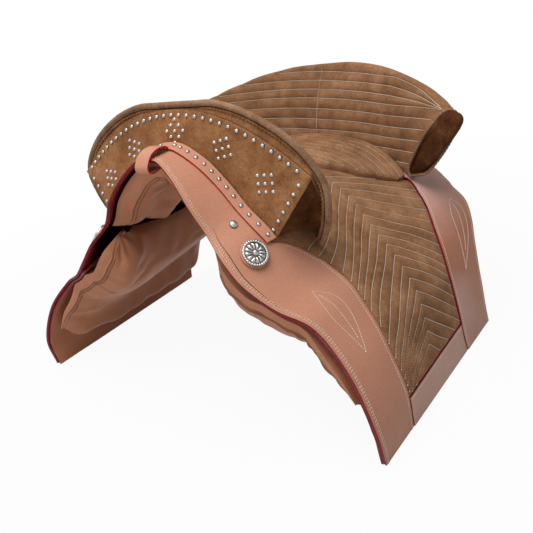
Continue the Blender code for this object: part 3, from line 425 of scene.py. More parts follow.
def section_slopes():
    """Slopes between the cross-sections that keep each line free of overshoot."""
    secant = np.diff(SECTIONS, axis=0) / np.diff(SECTION_AT)[:, None, None]
    a, b = secant[:-1], secant[1:]
    middle = np.where(a * b > 0, 2 * a * b / np.where(a + b == 0, 1, a + b), 0.0)
    return np.concatenate([secant[:1], middle, secant[-1:]])


SECTION_SLOPES = section_slopes()


def sections(u):
    i = np.clip(np.searchsorted(SECTION_AT[1:-1], u), 0, len(SECTION_AT) - 2)
    gap = (SECTION_AT[i + 1] - SECTION_AT[i])[..., None, None]
    f = (u[..., None, None] - SECTION_AT[i][..., None, None]) / gap
    slope_a, slope_b = SECTION_SLOPES[i] * gap, SECTION_SLOPES[i + 1] * gap
    inside = hermite(SECTIONS[i], SECTIONS[i + 1], slope_a, slope_b, np.clip(f, 0, 1))
    return inside + np.where(f > 1, (f - 1) * slope_b, 0) + np.where(f < 0, f * slope_a, 0)


def catmull(p0, p1, p2, p3, f):
    """Catmull-Rom curve from p1 to p2."""
    return 0.5 * (2 * p1 + (p2 - p0) * f + (2 * p0 - 5 * p1 + 4 * p2 - p3) * f * f
                  + (3 * p1 - p0 - 3 * p2 + p3) * f ** 3)


def surface(u, t):
    u, t = np.broadcast_arrays(np.asarray(u, float), np.asarray(t, float))
    points = sections(u)
    before = points[..., 1:2, :] * np.array((-1.0, 1.0))
    after = 2 * points[..., -1:, :] - points[..., -2:-1, :]
    points = np.concatenate([before, points, after], axis=-2)
    i = np.clip(np.floor(np.abs(t)).astype(int), 0, len(SECTIONS[0]) - 2)
    knots = [np.take_along_axis(points, (i + k)[..., None, None], axis=-2)[..., 0, :] for k in range(4)]
    place = catmull(*knots, (np.abs(t) - i)[..., None])
    return np.stack([place[..., 0] * np.where(t < 0, -1.0, 1.0), FRONT_TIP_Y + u, place[..., 1]], -1)


def unit(v):
    return v / np.maximum(np.linalg.norm(v, axis=-1, keepdims=True), 1e-12)


def normal(u, t):
    step = 0.002
    u, t = np.asarray(u, float), np.asarray(t, float)
    across = surface(u, t + step) - surface(u, t - step)
    back = surface(u + step, t) - surface(u - step, t)
    return unit(np.cross(across, back))


def skin(u, t, depth):
    return surface(u, t) - normal(u, t) * np.asarray(depth)[..., None]


def along(outline, at):
    """Smooth curve through an outline's (place, value) pairs."""
    place, value = np.array(outline, float).T
    at = np.asarray(at, float)
    slope = np.gradient(value, place)
    i = np.clip(np.searchsorted(place, at, side="right") - 1, 0, len(place) - 2)
    gap = place[i + 1] - place[i]
    f = np.clip((at - place[i]) / gap, 0, 1)
    return hermite(value[i], value[i + 1], slope[i] * gap, slope[i + 1] * gap, f)


def spline(points, at):
    """Smooth curve through the points; at counts them from 0."""
    points = np.array(points, float)
    ends = np.concatenate([2 * points[:1] - points[1:2], points, 2 * points[-1:] - points[-2:-1]])
    i = np.clip(np.floor(at).astype(int), 0, len(points) - 2)
    return catmull(*(ends[i + k] for k in range(4)), (at - i)[..., None])


def distances(path):
    """Distance of each point of a path from its start."""
    return np.concatenate([[0], np.cumsum(np.linalg.norm(np.diff(path, axis=0), axis=1))])


def between(wanted, at, path):
    """Path at the wanted values, where at holds those of its points."""
    return np.stack([np.interp(wanted, at, path[:, c]) for c in range(path.shape[1])], -1)


def ease(a, b, v):
    k = np.clip((v - a) / (b - a), 0, 1)
    return k * k * (3 - 2 * k)


def drop_t(u, share):
    hinge = HINGE_T + u
    return hinge + (LAST_T - hinge) * share


def distance_down():
    """Table of the distance down the leather from the top, over u and t."""
    u, t = np.linspace(-.02, .52, 55), np.linspace(0, LAST_T, 221)
    points = surface(u[:, None], t[None, :])
    steps = np.linalg.norm(np.diff(points, axis=1), axis=-1)
    return u, t, np.concatenate([np.zeros((len(u), 1)), np.cumsum(steps, axis=1)], axis=1)


DOWN_U, DOWN_T, DOWN_S = distance_down()


def table_place(value, steps):
    """Row of an even table at a value, with the share of the way to the next."""
    at = np.clip((value - steps[0]) / (steps[1] - steps[0]), 0, len(steps) - 1.001)
    row = np.floor(at).astype(int)
    return row, at - row


def s_of(u, t):
    """Distance down the leather from the top centre to a place."""
    a, f = table_place(u, DOWN_U)
    b, g = table_place(np.abs(t), DOWN_T)
    return ((DOWN_S[a, b] * (1 - f) + DOWN_S[a + 1, b] * f) * (1 - g)
            + (DOWN_S[a, b + 1] * (1 - f) + DOWN_S[a + 1, b + 1] * f) * g)


def t_at(u, s):
    """t of the place at a distance down the leather."""
    a, f = table_place(u, DOWN_U)
    rows = DOWN_S[a] * (1 - f[:, None]) + DOWN_S[a + 1] * f[:, None]
    return np.array([np.interp(v, row, DOWN_T) for v, row in zip(s, rows)])


# Materials
PEBBLES = 800.0
SOFT_PEBBLES = 620.0
# Colours of painted shade: in the folds of the panels and in the seams of the suede
FOLD_SHADE = (.07, .026, .016)
SEAM_SHADE_COLOUR = (.05, .025, .012)


def nodes_of(name, colour, roughness, metallic=0.0, **fixed):
    made = bpy.data.materials.new(name)
    made.use_nodes = True
    shader = made.node_tree.nodes["Principled BSDF"]
    shader.inputs["Base Color"].default_value = (*colour, 1)
    shader.inputs["Roughness"].default_value = roughness
    shader.inputs["Metallic"].default_value = metallic
    for socket, value in fixed.items():
        shader.inputs[socket.replace("_", " ")].default_value = value
    return made, made.node_tree, shader


def add(tree, kind, settings=None, **inputs):
    made = tree.nodes.new(kind)
    for key, value in (settings or {}).items():
        setattr(made, key, value)
    for key, value in inputs.items():
        socket = made.inputs[key.replace("_", " ")]
        if isinstance(value, bpy.types.NodeSocket):
            tree.links.new(value, socket)
        else:
            socket.default_value = value
    return made


def object_place(tree):
    return add(tree, "ShaderNodeTexCoord").outputs["Object"]


def noise(tree, scale, detail=4, rough=0.55, stretch=None):
    place = object_place(tree)
    if stretch:
        place = add(tree, "ShaderNodeMapping", Vector=place, Scale=stretch).outputs["Vector"]
    return add(tree, "ShaderNodeTexNoise", Vector=place, Scale=scale, Detail=detail,
               Roughness=rough).outputs["Fac"]


def ramp(tree, value, stops):
    made = add(tree, "ShaderNodeValToRGB", Fac=value)
    points = made.color_ramp.elements
    while len(points) < len(stops):
        points.new(0.5)
    for point, (at, colour) in zip(points, stops):
        point.position = at
        point.color = (*colour, 1)
    return made.outputs["Color"]


def mix(tree, share, a, b, kind="MIX"):
    made = tree.nodes.new("ShaderNodeMix")
    made.data_type = "RGBA"
    made.blend_type = kind
    for socket, value in ((made.inputs[0], share), (made.inputs[6], a), (made.inputs[7], b)):
        if isinstance(value, bpy.types.NodeSocket):
            tree.links.new(value, socket)
        else:
            socket.default_value = (*value, 1) if isinstance(value, tuple) else value
    return made.outputs[2]


def spread(tree, value, low, high, start=0.3, end=0.7):
    return add(tree, "ShaderNodeMapRange", Value=value, From_Min=start, From_Max=end, To_Min=low,
               To_Max=high).outputs["Result"]


def bump(tree, shader, height, strength, distance, below=None):
    made = add(tree, "ShaderNodeBump", Height=height, Strength=strength, Distance=distance)
    if below:
        tree.links.new(below, made.inputs["Normal"])
    tree.links.new(made.outputs["Normal"], shader.inputs["Normal"])
    return made.outputs["Normal"]


def pores(tree, scale):
    """Height that drops between the pebbles of leather."""
    return add(tree, "ShaderNodeTexVoronoi", {"feature": "DISTANCE_TO_EDGE"}, Vector=object_place(tree),
               Scale=scale).outputs["Distance"]


def groove_of(tree):
    """Share of painted shade in a seam or fold; on metal, the share of tarnish in its hollows."""
    return add(tree, "ShaderNodeAttribute", {"attribute_name": "groove"}).outputs["Fac"]


def paint(tree, shader, colour):
    tree.links.new(colour, shader.inputs["Base Color"])


def smooth_leather(name, dark, light, painted_sheen, roughness=0.42, depth=0.16, painted_sheen_above=None, shine=0.13):
    """Veg-tanned leather with painted sheen: a paler colour stands in for reflected light, in patches and,
    where asked, upwards over a height, which leaves the lower parts darker.
    """
    made, tree, shader = nodes_of(name, light, roughness, Specular_IOR_Level=shine)
    base = mix(tree, spread(tree, noise(tree, 9.0, 5), 0, 1), dark, light)
    # Painted sheen: noise patches of the paler colour that stands in for reflected light
    base = mix(tree, spread(tree, noise(tree, 4.3, 2), 0, 0.7, 0.50, 0.72), base, painted_sheen)
    # Painted highlight by height: above the given heights the colour turns to the painted sheen
    if painted_sheen_above:
        height = add(tree, "ShaderNodeSeparateXYZ", Vector=object_place(tree)).outputs["Z"]
        base = mix(tree, spread(tree, height, 0, 0.85, *painted_sheen_above), base, painted_sheen)
    shade = spread(tree, noise(tree, 420.0, 3), 0.90, 1.06)
    shade = add(tree, "ShaderNodeCombineColor", Red=shade, Green=shade, Blue=shade).outputs["Color"]
    paint(tree, shader, mix(tree, 1.0, base, shade, "MULTIPLY"))
    tree.links.new(spread(tree, noise(tree, 30.0, 4), roughness - 0.07, roughness + 0.09),
                   shader.inputs["Roughness"])
    uneven = bump(tree, shader, noise(tree, 0.12 * PEBBLES, 5, 0.6), depth, 0.0012)
    bump(tree, shader, pores(tree, PEBBLES), depth * 0.8, 0.0004, uneven)
    return made


def creased_leather(name, dark, light, painted_sheen):
    """Soft garment leather with painted sheen in patches and painted shade in its seams and folds."""
    made, tree, shader = nodes_of(name, light, 0.5, Specular_IOR_Level=0.10)
    base = mix(tree, spread(tree, noise(tree, 12.0, 5), 0, 1), dark, light)
    # Painted sheen in patches
    base = mix(tree, spread(tree, noise(tree, 5.0, 3), 0, 0.6, 0.48, 0.7), base, painted_sheen)
    # Painted shade in seams and folds, from the groove attribute
    paint(tree, shader, mix(tree, groove_of(tree), base, FOLD_SHADE))
    folds = bump(tree, shader, noise(tree, 60.0, 4, 0.6, (0.5, 0.5, 1.0)), 0.18, 0.0030)
    bump(tree, shader, pores(tree, SOFT_PEBBLES), 0.18, 0.0005, folds)
    return made


def edge_paint(name, dark, light):
    """Burnished and painted cut edge of leather."""
    made, tree, shader = nodes_of(name, light, 0.45, Specular_IOR_Level=0.15)
    paint(tree, shader, mix(tree, spread(tree, noise(tree, 70.0, 5), 0, 1), dark, light))
    bump(tree, shader, noise(tree, 500.0, 3), 0.2, 0.0005)
    return made


def suede(name, dark, middle, light):
    """Brushed roughout: broad shades and patches of its nap, fibres, and painted shade in its seams."""
    made, tree, shader = nodes_of(name, middle, 0.95, Sheen_Weight=0.07, Sheen_Roughness=0.45,
                                  Sheen_Tint=(0.95, 0.75, 0.5, 1.0), Specular_IOR_Level=0.1)
    base = ramp(tree, noise(tree, 34.0, 7, 0.68), ((0.30, dark), (0.5, middle), (0.72, light)))
    fibres = ramp(tree, noise(tree, 460.0, 4, 0.7), ((0.30, (0.62, 0.60, 0.58)), (0.68, (1.22, 1.2, 1.16))))
    broad = ramp(tree, noise(tree, 11.0, 3, 0.6), ((0.34, (0.80, 0.78, 0.76)), (0.62, (1.10, 1.10, 1.10))))
    for shade in (fibres, broad):
        base = mix(tree, 1.0, base, shade, "MULTIPLY")
    # Painted shade in the seams, from the groove attribute
    paint(tree, shader, mix(tree, groove_of(tree), base, SEAM_SHADE_COLOUR))
    rough = bump(tree, shader, noise(tree, 160.0, 5, 0.7), 0.35, 0.0012)
    bump(tree, shader, noise(tree, 900.0, 3, 0.7), 0.5, 0.0006, rough)
    return made


def thread(name, colour):
    made, tree, shader = nodes_of(name, colour, 0.62, Sheen_Weight=0.2)
    darker = tuple(0.72 * c for c in colour)
    paint(tree, shader, mix(tree, spread(tree, noise(tree, 300.0, 3), 0, 1), darker, colour))
    bump(tree, shader, noise(tree, 2500.0, 2, 0.5), 0.3, 0.0002)
    return made


def metal(name, colour, roughness, tarnish):
    """Plated or bright metal, tarnished in its grooves."""
    made, tree, shader = nodes_of(name, colour, roughness, 1.0)
    base = mix(tree, spread(tree, noise(tree, 120.0, 5), 0, 0.35), colour, tarnish)
    paint(tree, shader, mix(tree, groove_of(tree), base, tarnish))
    tree.links.new(spread(tree, noise(tree, 260.0, 4), roughness * 0.8, roughness * 1.5),
                   shader.inputs["Roughness"])
    bump(tree, shader, noise(tree, 900.0, 3), 0.06, 0.0003)
    return made


def wood(name):
    made, tree, shader = nodes_of(name, (0.55, 0.37, 0.19), 0.5, Coat_Weight=0.25)
    place = add(tree, "ShaderNodeMapping", Scale=(1.0, 0.12, 1.0), Vector=object_place(tree))
    rings = add(tree, "ShaderNodeTexWave", {"wave_type": "BANDS", "bands_direction": "X"}, Scale=38.0,
                Distortion=5.0, Detail=3.0, Vector=place.outputs["Vector"]).outputs["Fac"]
    paint(tree, shader, ramp(tree, rings, ((0.0, (.40, .25, .12)), (0.6, (.58, .40, .21)),
                                           (1.0, (.64, .46, .26)))))
    bump(tree, shader, rings, 0.12, 0.0005)
    return made


def webbing(name):
    made, tree, shader = nodes_of(name, (0.66, 0.61, 0.50), 0.85, Sheen_Weight=0.2)
    ribs = [add(tree, "ShaderNodeTexWave", {"bands_direction": axis}, Scale=160.0, Distortion=1.0,
                Vector=object_place(tree)).outputs["Fac"] for axis in "XY"]
    warp = ramp(tree, ribs[0], ((0, (.5, .46, .38)), (1, (.85, .8, .68))))
    weft = ramp(tree, ribs[1], ((0, (.6, .58, .5)), (1, (1, 1, 1))))
    paint(tree, shader, mix(tree, 1.0, warp, weft, "MULTIPLY"))
    bump(tree, shader, ribs[1], 0.5, 0.0006)
    return made


def make_materials():
    return {
        # Smooth leather: painted highlight over the upper heights and painted sheen in patches
        "leather": smooth_leather("smooth leather", (.29, .122, .070), (.37, .158, .094),
                                  (.60, .280, .180), painted_sheen_above=(0.06, 0.24)),
        # Bottom strip: its paler, bluer colour is painted sheen
        "sheen-painted bottom leather": smooth_leather("bottom leather", (.44, .225, .150), (.53, .285, .200),
                                          (.56, .34, .27)),
        # Rear leather: its pale lilac upper part is painted reflection
        "sheen-painted rear leather": smooth_leather("rear leather", (.37, .148, .080), (.45, .190, .112),
                                       (.66, .45, .43), painted_sheen_above=(0.15, 0.26)),
        "flesh": smooth_leather("flesh side", (.30, .13, .085), (.40, .19, .12), (.34, .17, .12), 0.7, 0.3),
        # Painted shade: near-black inner face of the arch leather's lining
        "shade-painted lining": smooth_leather("arch lining in painted shade", (.024, .006, .005), (.050, .013, .011),
                                      (.04, .014, .011), 0.7, 0.25, shine=0.04),
        # Painted shadow: near-black, for sheets put where the gaps are in shade
        "shadow": smooth_leather("painted shadow", (.004, .0025, .002), (.008, .005, .004),
                                 (.007, .004, .003), 0.9, 0.2, shine=0.0),
        "panel": creased_leather("panel leather", (.42, .172, .090), (.54, .230, .128), (.50, .235, .140)),
        "edge": edge_paint("burgundy edge", (.16, .008, .016), (.27, .018, .030)),
        "red edge": edge_paint("red edge", (.42, .016, .022), (.60, .035, .045)),
        "suede": suede("suede", (.19, .090, .042), (.30, .150, .076), (.41, .220, .118)),
        "face suede": suede("pommel suede", (.20, .082, .030), (.33, .150, .062), (.46, .245, .120)),
        "worn suede": suede("worn suede", (.19, .100, .054), (.31, .175, .103), (.43, .265, .165)),
        # Dark suede, partly painted shade: for the pommel's sides and back, the cantle's caps and the sheet
        # behind the rim
        "dark suede with painted shade": suede("dark suede with painted shade", (.038, .012, .004), (.092, .033, .011), (.19, .080, .032)),
        "thread": thread("cream thread", (.80, .68, .56)),
        "brown thread": thread("brown thread", (.20, .08, .045)),
        "nickel": metal("nickel", (.44, .43, .42), .26, (.06, .05, .045)),
        "steel": metal("steel", (.55, .55, .56), .35, (.30, .28, .26)),
        "wood": wood("beech"),
        "webbing": webbing("linen webbing"),
    }


MATERIALS = make_materials()


# Meshes
def new_piece(name, points, faces, materials, face_material=None, groove=None, sharp=40):
    mesh = bpy.data.meshes.new(name)
    mesh.from_pydata(np.asarray(points).tolist(), [], [list(f) for f in faces])
    for word in materials:
        mesh.materials.append(MATERIALS[word])
    if face_material is not None:
        mesh.polygons.foreach_set("material_index", np.asarray(face_material, np.int32))
    if groove is not None:
        layer = mesh.attributes.new("groove", "FLOAT", "POINT")
        layer.data.foreach_set("value", np.asarray(groove, np.float32))
    mesh.shade_smooth()
    mesh.set_sharp_from_angle(angle=math.radians(sharp))
    obj = bpy.data.objects.new(name, mesh)
    bpy.context.scene.collection.objects.link(obj)
    return obj


def grid_quads(rows, columns, closed=False):
    i, j = np.meshgrid(np.arange(rows - 1), np.arange(columns if closed else columns - 1), indexing="ij")
    a = i * columns + j
    b = i * columns + (j + 1) % columns
    return np.stack([a, a + columns, b + columns, b], -1).reshape(-1, 4)


def border(rows, columns):
    """Indices round a grid, in the direction of its faces."""
    down = np.arange(rows - 1) * columns
    right = (rows - 1) * columns + np.arange(columns - 1)
    up = np.arange(rows - 1, 0, -1) * columns + columns - 1
    left = np.arange(columns - 1, 0, -1)
    return np.concatenate([down, right, up, left])


def slab(name, outer, inner, materials, side=1, groove=None, round_edge=0.0, margin=0):
    """Closed layer between two grids; materials are for its outer face, inner face and cut edge.

    The first columns of the inner face, up to the margin, look like the cut edge.
    """
    rows, columns = outer.shape[:2]
    count = rows * columns
    points = np.concatenate([outer.reshape(-1, 3), inner.reshape(-1, 3)]) * (side, 1, 1)
    top = grid_quads(rows, columns)
    loop = border(rows, columns)
    after = np.roll(loop, -1)
    rim = np.stack([after, loop, loop + count, after + count], -1)
    faces = np.concatenate([top, top[:, ::-1] + count, rim])
    kinds = np.repeat([0, 1, 2], [len(top), len(top), len(rim)])
    kinds[len(top):2 * len(top)].reshape(rows - 1, columns - 1)[:, :margin] = 2
    if side < 0:
        faces = faces[:, ::-1]
    if groove is not None:
        groove = np.concatenate([groove.ravel(), np.zeros(count)])
    piece = new_piece(name, points, faces, materials, kinds, groove)
    if round_edge:
        turn = piece.modifiers.new("rounding", "BEVEL")
        turn.width = round_edge
        turn.segments = 2
        turn.limit_method = "ANGLE"
        turn.angle_limit = math.radians(55)
        settle(piece)
    return piece


def settle(piece):
    """Applies the piece's modifiers."""
    graph = bpy.context.evaluated_depsgraph_get()
    mesh = bpy.data.meshes.new_from_object(piece.evaluated_get(graph))
    piece.modifiers.clear()
    piece.data = mesh
    mesh.shade_smooth()
    mesh.set_sharp_from_angle(angle=math.radians(40))


def loft(name, rings, materials, face_material=None, groove=None, sharp=40):
    """Closed solid through rings of equal count, its ends closed with fans."""
    rings = np.asarray(rings)
    count, size = rings.shape[:2]
    points = np.concatenate([rings.reshape(-1, 3), rings[:1].mean(1), rings[-1:].mean(1)])
    faces = grid_quads(count, size, closed=True)
    j = np.arange(size)
    first = np.stack([np.full(size, count * size), j, (j + 1) % size], -1)
    last = np.stack([np.full(size, count * size + 1), (count - 1) * size + (j + 1) % size,
                     (count - 1) * size + j], -1)
    everything = [tuple(f) for f in faces] + [tuple(f) for f in first] + [tuple(f) for f in last]
    kinds = None
    if face_material is not None:
        kinds = np.concatenate([np.asarray(face_material).ravel(), np.zeros(2 * size, int)])
    if groove is not None:
        groove = np.concatenate([np.asarray(groove).ravel(), [0, 0]])
    return new_piece(name, points, everything, materials, kinds, groove, sharp)


def outward_faces(piece):
    """Turns a closed piece inside out where its faces point in."""
    mesh = piece.data
    mesh.calc_loop_triangles()
    tri = np.zeros(len(mesh.loop_triangles) * 3, np.int32)
    mesh.loop_triangles.foreach_get("vertices", tri)
    a, b, c = corners(mesh)[tri.reshape(-1, 3)].transpose(1, 0, 2)
    if (a * np.cross(b, c)).sum() < 0:
        mesh.flip_normals()
    return piece


def tube(name, path, radius, materials, sides=12, closed=False):
    """Round cord along a path; radius is one value or one for each point."""
    path = np.asarray(path, float)
    radius = np.broadcast_to(radius, len(path))
    run = unit(np.roll(path, -1, 0) - np.roll(path, 1, 0)) if closed else unit(np.gradient(path, axis=0))
    a = unit(np.cross(run, (0.0, 1.0, 0.0)))
    b = np.cross(run, a)
    angle = np.linspace(0, 2 * math.pi, sides, endpoint=False)[None, :, None]
    rings = path[:, None] + radius[:, None, None] * (a[:, None] * np.cos(angle) + b[:, None] * np.sin(angle))
    if closed:
        rings = np.concatenate([rings, rings[:1]])
    return outward_faces(loft(name, rings, materials, sharp=60))


def finish(piece, replaced=None):
    """Turns a saddle piece's faces out, hides the solid that it replaces and attaches it to the saddle."""
    outward_faces(piece)
    if replaced:
        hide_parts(replaced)
    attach(piece, "saddle")


def even_layer(u, t, depth):
    """The surface moved in by one depth."""
    return skin(u, t, np.full(u.shape, depth))


# Stitches and studs
STITCH = np.array([(x, r * math.cos(a), r * math.sin(a)) for x, r in ((-1, .45), (0, 1), (1, .45))
                   for a in np.arange(6) * math.pi / 3])
STITCH_FACES = [tuple(f) for f in grid_quads(3, 6, closed=True)] + [tuple(range(6)), tuple(range(17, 11, -1))]
stitches = {}


def resample(path, pitch):
    """Even places along a path, with the direction and the distance at each."""
    at = distances(path)
    count = max(int(at[-1] / pitch), 1)
    wanted = (np.arange(count) + 0.5) * at[-1] / count
    run = unit(between(wanted + 0.001, at, path) - between(wanted - 0.001, at, path))
    return between(wanted, at, path), run, wanted


def sew(group, path, outward, pitch=STITCH_PITCH, length=STITCH_LENGTH, radius=STITCH_RADIUS, lean=0.0,
        sides=(1,)):
    """Adds a row of stitches; outward gives the leather's normal for each point of the path."""
    path, outward = np.asarray(path, float), np.asarray(outward, float)
    places, run, wanted = resample(path, pitch)
    up = unit(between(wanted, distances(path), outward))
    across = unit(np.cross(up, run))
    if lean:
        run = unit(run * math.cos(lean) + across * math.sin(lean))
        across = unit(np.cross(up, run))
    points = (places[:, None] + run[:, None] * STITCH[None, :, :1] * length / 2
              + across[:, None] * STITCH[None, :, 1:2] * radius
              + up[:, None] * (STITCH[None, :, 2:] + 0.25) * radius)
    for side in sides:
        stitches.setdefault(group, []).append((points * (side, 1, 1), side))


def sew_on_skin(group, u, t, lift=0.0, **how):
    u, t = np.broadcast_arrays(np.asarray(u, float), np.asarray(t, float))
    sew(group, skin(u, t, -np.broadcast_to(lift, u.shape)), normal(u, t), **how)


def stitch_piece(name, group, material="thread"):
    points, faces, start = [], [], 0
    for block, side in stitches[group]:
        for _ in block:
            faces += [tuple(start + i for i in (f if side > 0 else f[::-1])) for f in STITCH_FACES]
            start += len(STITCH)
        points.append(block.reshape(-1, 3))
    piece = new_piece(name, np.concatenate(points), faces, [material], sharp=80)
    return piece


def studs(name, places, outward, radius, height, rings=4, around=12):
    """Domed nail heads."""
    places, outward = np.asarray(places), unit(np.asarray(outward))
    guide = np.array((0.3, 0.2, 1.0))
    a = unit(np.cross(outward, guide))
    b = np.cross(outward, a)
    angle = np.arange(around) * 2 * math.pi / around
    profile = [(math.cos(k), math.sin(k)) for k in np.linspace(0, math.pi / 2, rings + 1)[:-1]]
    brim, low, high = STUD_BRIM
    shell = [(radius * brim, low * height), (radius * brim, high * height)]
    shell += [(radius * r, height * h + high * height) for r, h in profile]
    points, faces, groove = [], [], []
    for place, up, x, y in zip(places, outward, a, b):
        start = len(points)
        for r, h in shell:
            points += [place + (x * math.cos(k) + y * math.sin(k)) * r + up * h for k in angle]
        points.append(place + up * height * (1 + high))
        groove += [1.0] * (2 * around) + [0.75] * around + [0.0] * ((rings - 1) * around + 1)
        for i in range(len(shell) - 1):
            for j in range(around):
                k = (j + 1) % around
                faces.append((start + i * around + j, start + i * around + k,
                              start + (i + 1) * around + k, start + (i + 1) * around + j))
        crown = start + (len(shell) - 1) * around
        faces += [(crown + j, crown + (j + 1) % around, start + len(shell) * around) for j in range(around)]
        faces.append(tuple(start + j for j in reversed(range(around))))
    piece = new_piece(name, points, faces, ["nickel"], groove=groove, sharp=70)
    return piece


# Leather and suede of the sides
def side_places(left, right, grid, share_range=(0, 1)):
    """Grid of (u, t) that runs from the top centre past the hinge to the bottom edge."""
    rows_up, rows_down, columns = grid
    across = np.linspace(0, 1, columns)
    u_rows, t_rows = [], []
    for v in np.linspace(SIDE_TOP_T, HINGE_T, rows_up, endpoint=False):
        shift = (v / HINGE_T) ** 4
        a, b = left(v), right(v)
        for _ in range(4):
            a, b = left(v + a * shift), right(v + b * shift)
        u = a + (b - a) * across
        u_rows.append(u)
        t_rows.append(v + u * shift)
    for share in np.linspace(*share_range, rows_down):
        a, b = left(None, share), right(None, share)
        u = a + (b - a) * across
        u_rows.append(u)
        t_rows.append(drop_t(u, share))
    return np.array(u_rows), np.array(t_rows)


def outline(upper, lower, shift=0.0):
    """Edge of a side piece: one outline over t above the hinge and one over the drop below it.

    Without a lower one, the upper goes on over t.
    """
    def at(t, share=None):
        if share is None:
            return float(along(upper, t)) + shift
        if lower is None:
            return float(along(upper, drop_t(0.0, share))) + shift
        return float(along(lower, share)) + shift
    return at


def above_floor(points):
    points[..., 2] = np.maximum(points[..., 2], FLOOR_CLEARANCE)
    return points


def left_slope(apex, reach):
    """Slope of a chevron's left leg, which bends down away from its apex; sooner on the lower ones."""
    near, far = along(LEFT_SLOPE, apex), along(LEFT_SLOPE_FAR, apex)
    sooner = ease(*LOWER_CHEVRONS, apex)
    start, upper_stop, lower_stop = LEFT_BEND
    stop = upper_stop + (lower_stop - upper_stop) * sooner
    return near + (far - near) * ease(start * (1 - sooner), stop, reach)


def apex_u(apex):
    """u of a chevron's apex."""
    return QUILT_FIRST[0] - QUILT_LEAN * (apex - QUILT_FIRST[1])


def quilt_phase(u, t):
    """Count of the chevron seams down to a place; whole numbers lie on a seam."""
    s = s_of(u, t)
    apex = s.copy()
    for _ in range(30):
        reach = u - apex_u(apex)
        slope = np.where(reach > 0, along(RIGHT_SLOPE, apex), left_slope(apex, np.abs(reach)))
        apex = 0.5 * apex + 0.5 * (s - slope * np.abs(reach))
    return (apex - QUILT_FIRST[1]) / QUILT_PITCH


def puffed(count):
    """Share of the full height between the seams, which lie at whole numbers."""
    return np.abs(np.sin(math.pi * count)) ** PUFF_POWER


# Painted shade of a quilted seam, whose lines lie at whole numbers of the count
def seam_shade(count, shown):
    return np.exp(-(np.abs(count - np.round(count)) / SEAM_SHADE_WIDTH) ** 2) * SEAM_SHADE * shown


def fold(piece):
    """Bakes a piece's placement into its mesh."""
    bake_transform(piece)


def leather_piece(name, left, right, grid, word, replaced=(), rise=0.0, thickness=LEATHER, depth=0.0,
                  share_range=(0, 1), material="leather", back="flesh", margin=0):
    """Side piece between two outlines."""
    u, t = side_places(left, right, grid, share_range=share_range)
    outer, inner = (above_floor(even_layer(u, t, at)) for at in (depth - rise, depth + thickness))
    piece = slab(name + "_" + word, outer, inner, [material, back, "edge"], SIDES[word],
                 round_edge=CUT_ROUNDING, margin=margin)
    if replaced:
        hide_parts(*[node + "_" + word for node in replaced])
    return piece


def make_side(word):
    arch = outline(ARCH_REAR, FRONT_STRIP, -SEAM_GAP)
    front_strip = outline(ARCH_REAR, FRONT_STRIP, SEAM_GAP)
    skirt = outline(REAR_LEATHER, REAR_STRIP, SEAM_GAP)

    def rear_left(t, share=None):
        if share is None and t < SEAT_REAR[-1][0]:
            return float(along(SEAT_REAR, t)) + 2 * SEAM_GAP
        return skirt(t, share)

    half = LEATHER / 2 - SPLIT / 2
    fold(leather_piece("front_leather", outline(FRONT_EDGE, None), arch, FRONT_GRID, word,
                       ("arch_facing", "front_strip"), thickness=half))
    # Its inner face is painted shade, apart from a margin that looks like the cut edge
    fold(leather_piece("front_lining", outline(FRONT_EDGE, None, ARCH_LINING_INSET), arch, LINED_GRID, word,
                       thickness=half, depth=half + SPLIT, back="shade-painted lining",
                       margin=ARCH_LINING_MARGIN))
    make_quilt(word, front_strip)
    # The rear leather's paler upper part is painted reflection
    fold(leather_piece("rear_leather", rear_left, outline(REAR_EDGE_UP, REAR_EDGE), REAR_GRID, word,
                       ("rear_skirt", "rear_strip"), rise=REAR_RISE, material="sheen-painted rear leather"))
    # Bottom strip in the leather whose paler colour is painted sheen
    piece = leather_piece("bottom_leather", front_strip, outline(SEAT_SEAM, REAR_STRIP, -SEAM_GAP),
                          BOTTOM_GRID, word, ("bottom_strip",), rise=STRIP_RISE,
                          share_range=(BOTTOM_STRIP_AT, 1), material="sheen-painted bottom leather")
    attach(piece, "flap_" + word)
    make_tool_line(word)
    sew_side("side_" + word, SIDES[word])
    fold(stitch_piece("side_stitching_" + word, "side_" + word))


def make_quilt(word, front_strip):
    u, t = side_places(front_strip, outline(QUILT_REAR, REAR_STRIP, -SEAM_GAP), QUILT_GRID,
                       share_range=(0, BOTTOM_STRIP_AT - QUILT_END_GAP))
    phase = quilt_phase(u, t)
    inside = (phase > -QUILT_ABOVE - 0.5) & (phase < QUILT_COUNT + 0.5)
    rows, columns = (np.arange(count) for count in u.shape)
    cells_in = np.minimum(np.minimum(columns, columns[::-1])[None, :], rows[::-1][:, None])
    edge = np.clip(cells_in / QUILT_EDGE_CELLS, 0, 1) ** QUILT_EDGE_POWER
    height = (PUFF * np.where(inside, puffed(phase), 1.0) - GROOVE) * edge - QUILT_EDGE_DROP * (1 - edge)
    quilt = slab("quilted_suede_" + word, above_floor(skin(u, t, -height)),
                 above_floor(even_layer(u, t, LEATHER)), ["suede", "flesh", "suede"], SIDES[word],
                 groove=seam_shade(phase, inside))
    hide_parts("side_skirt_" + word, "quilted_panel_" + word)
    fold(quilt)


def make_tool_line(word):
    """Dark line tooled along the arch leather's front edge."""
    u, t = flat_curve(TOOL_LINE, TOOL_LINE_PLACES)
    line = even_layer(u, t, TOOL_LINE_DEPTH) * (SIDES[word], 1, 1)
    taper = np.sin(math.pi * np.linspace(0.02, 0.98, TOOL_LINE_PLACES)) ** 0.5
    # Drawn with the painted-shadow material: its black stands for both the pressed leather of the tooling and
    # the shade in its groove
    piece = tube("tooled_line_" + word, line, TOOL_LINE_HALF_WIDTH * taper, ["shadow"], 6)
    fold(piece)


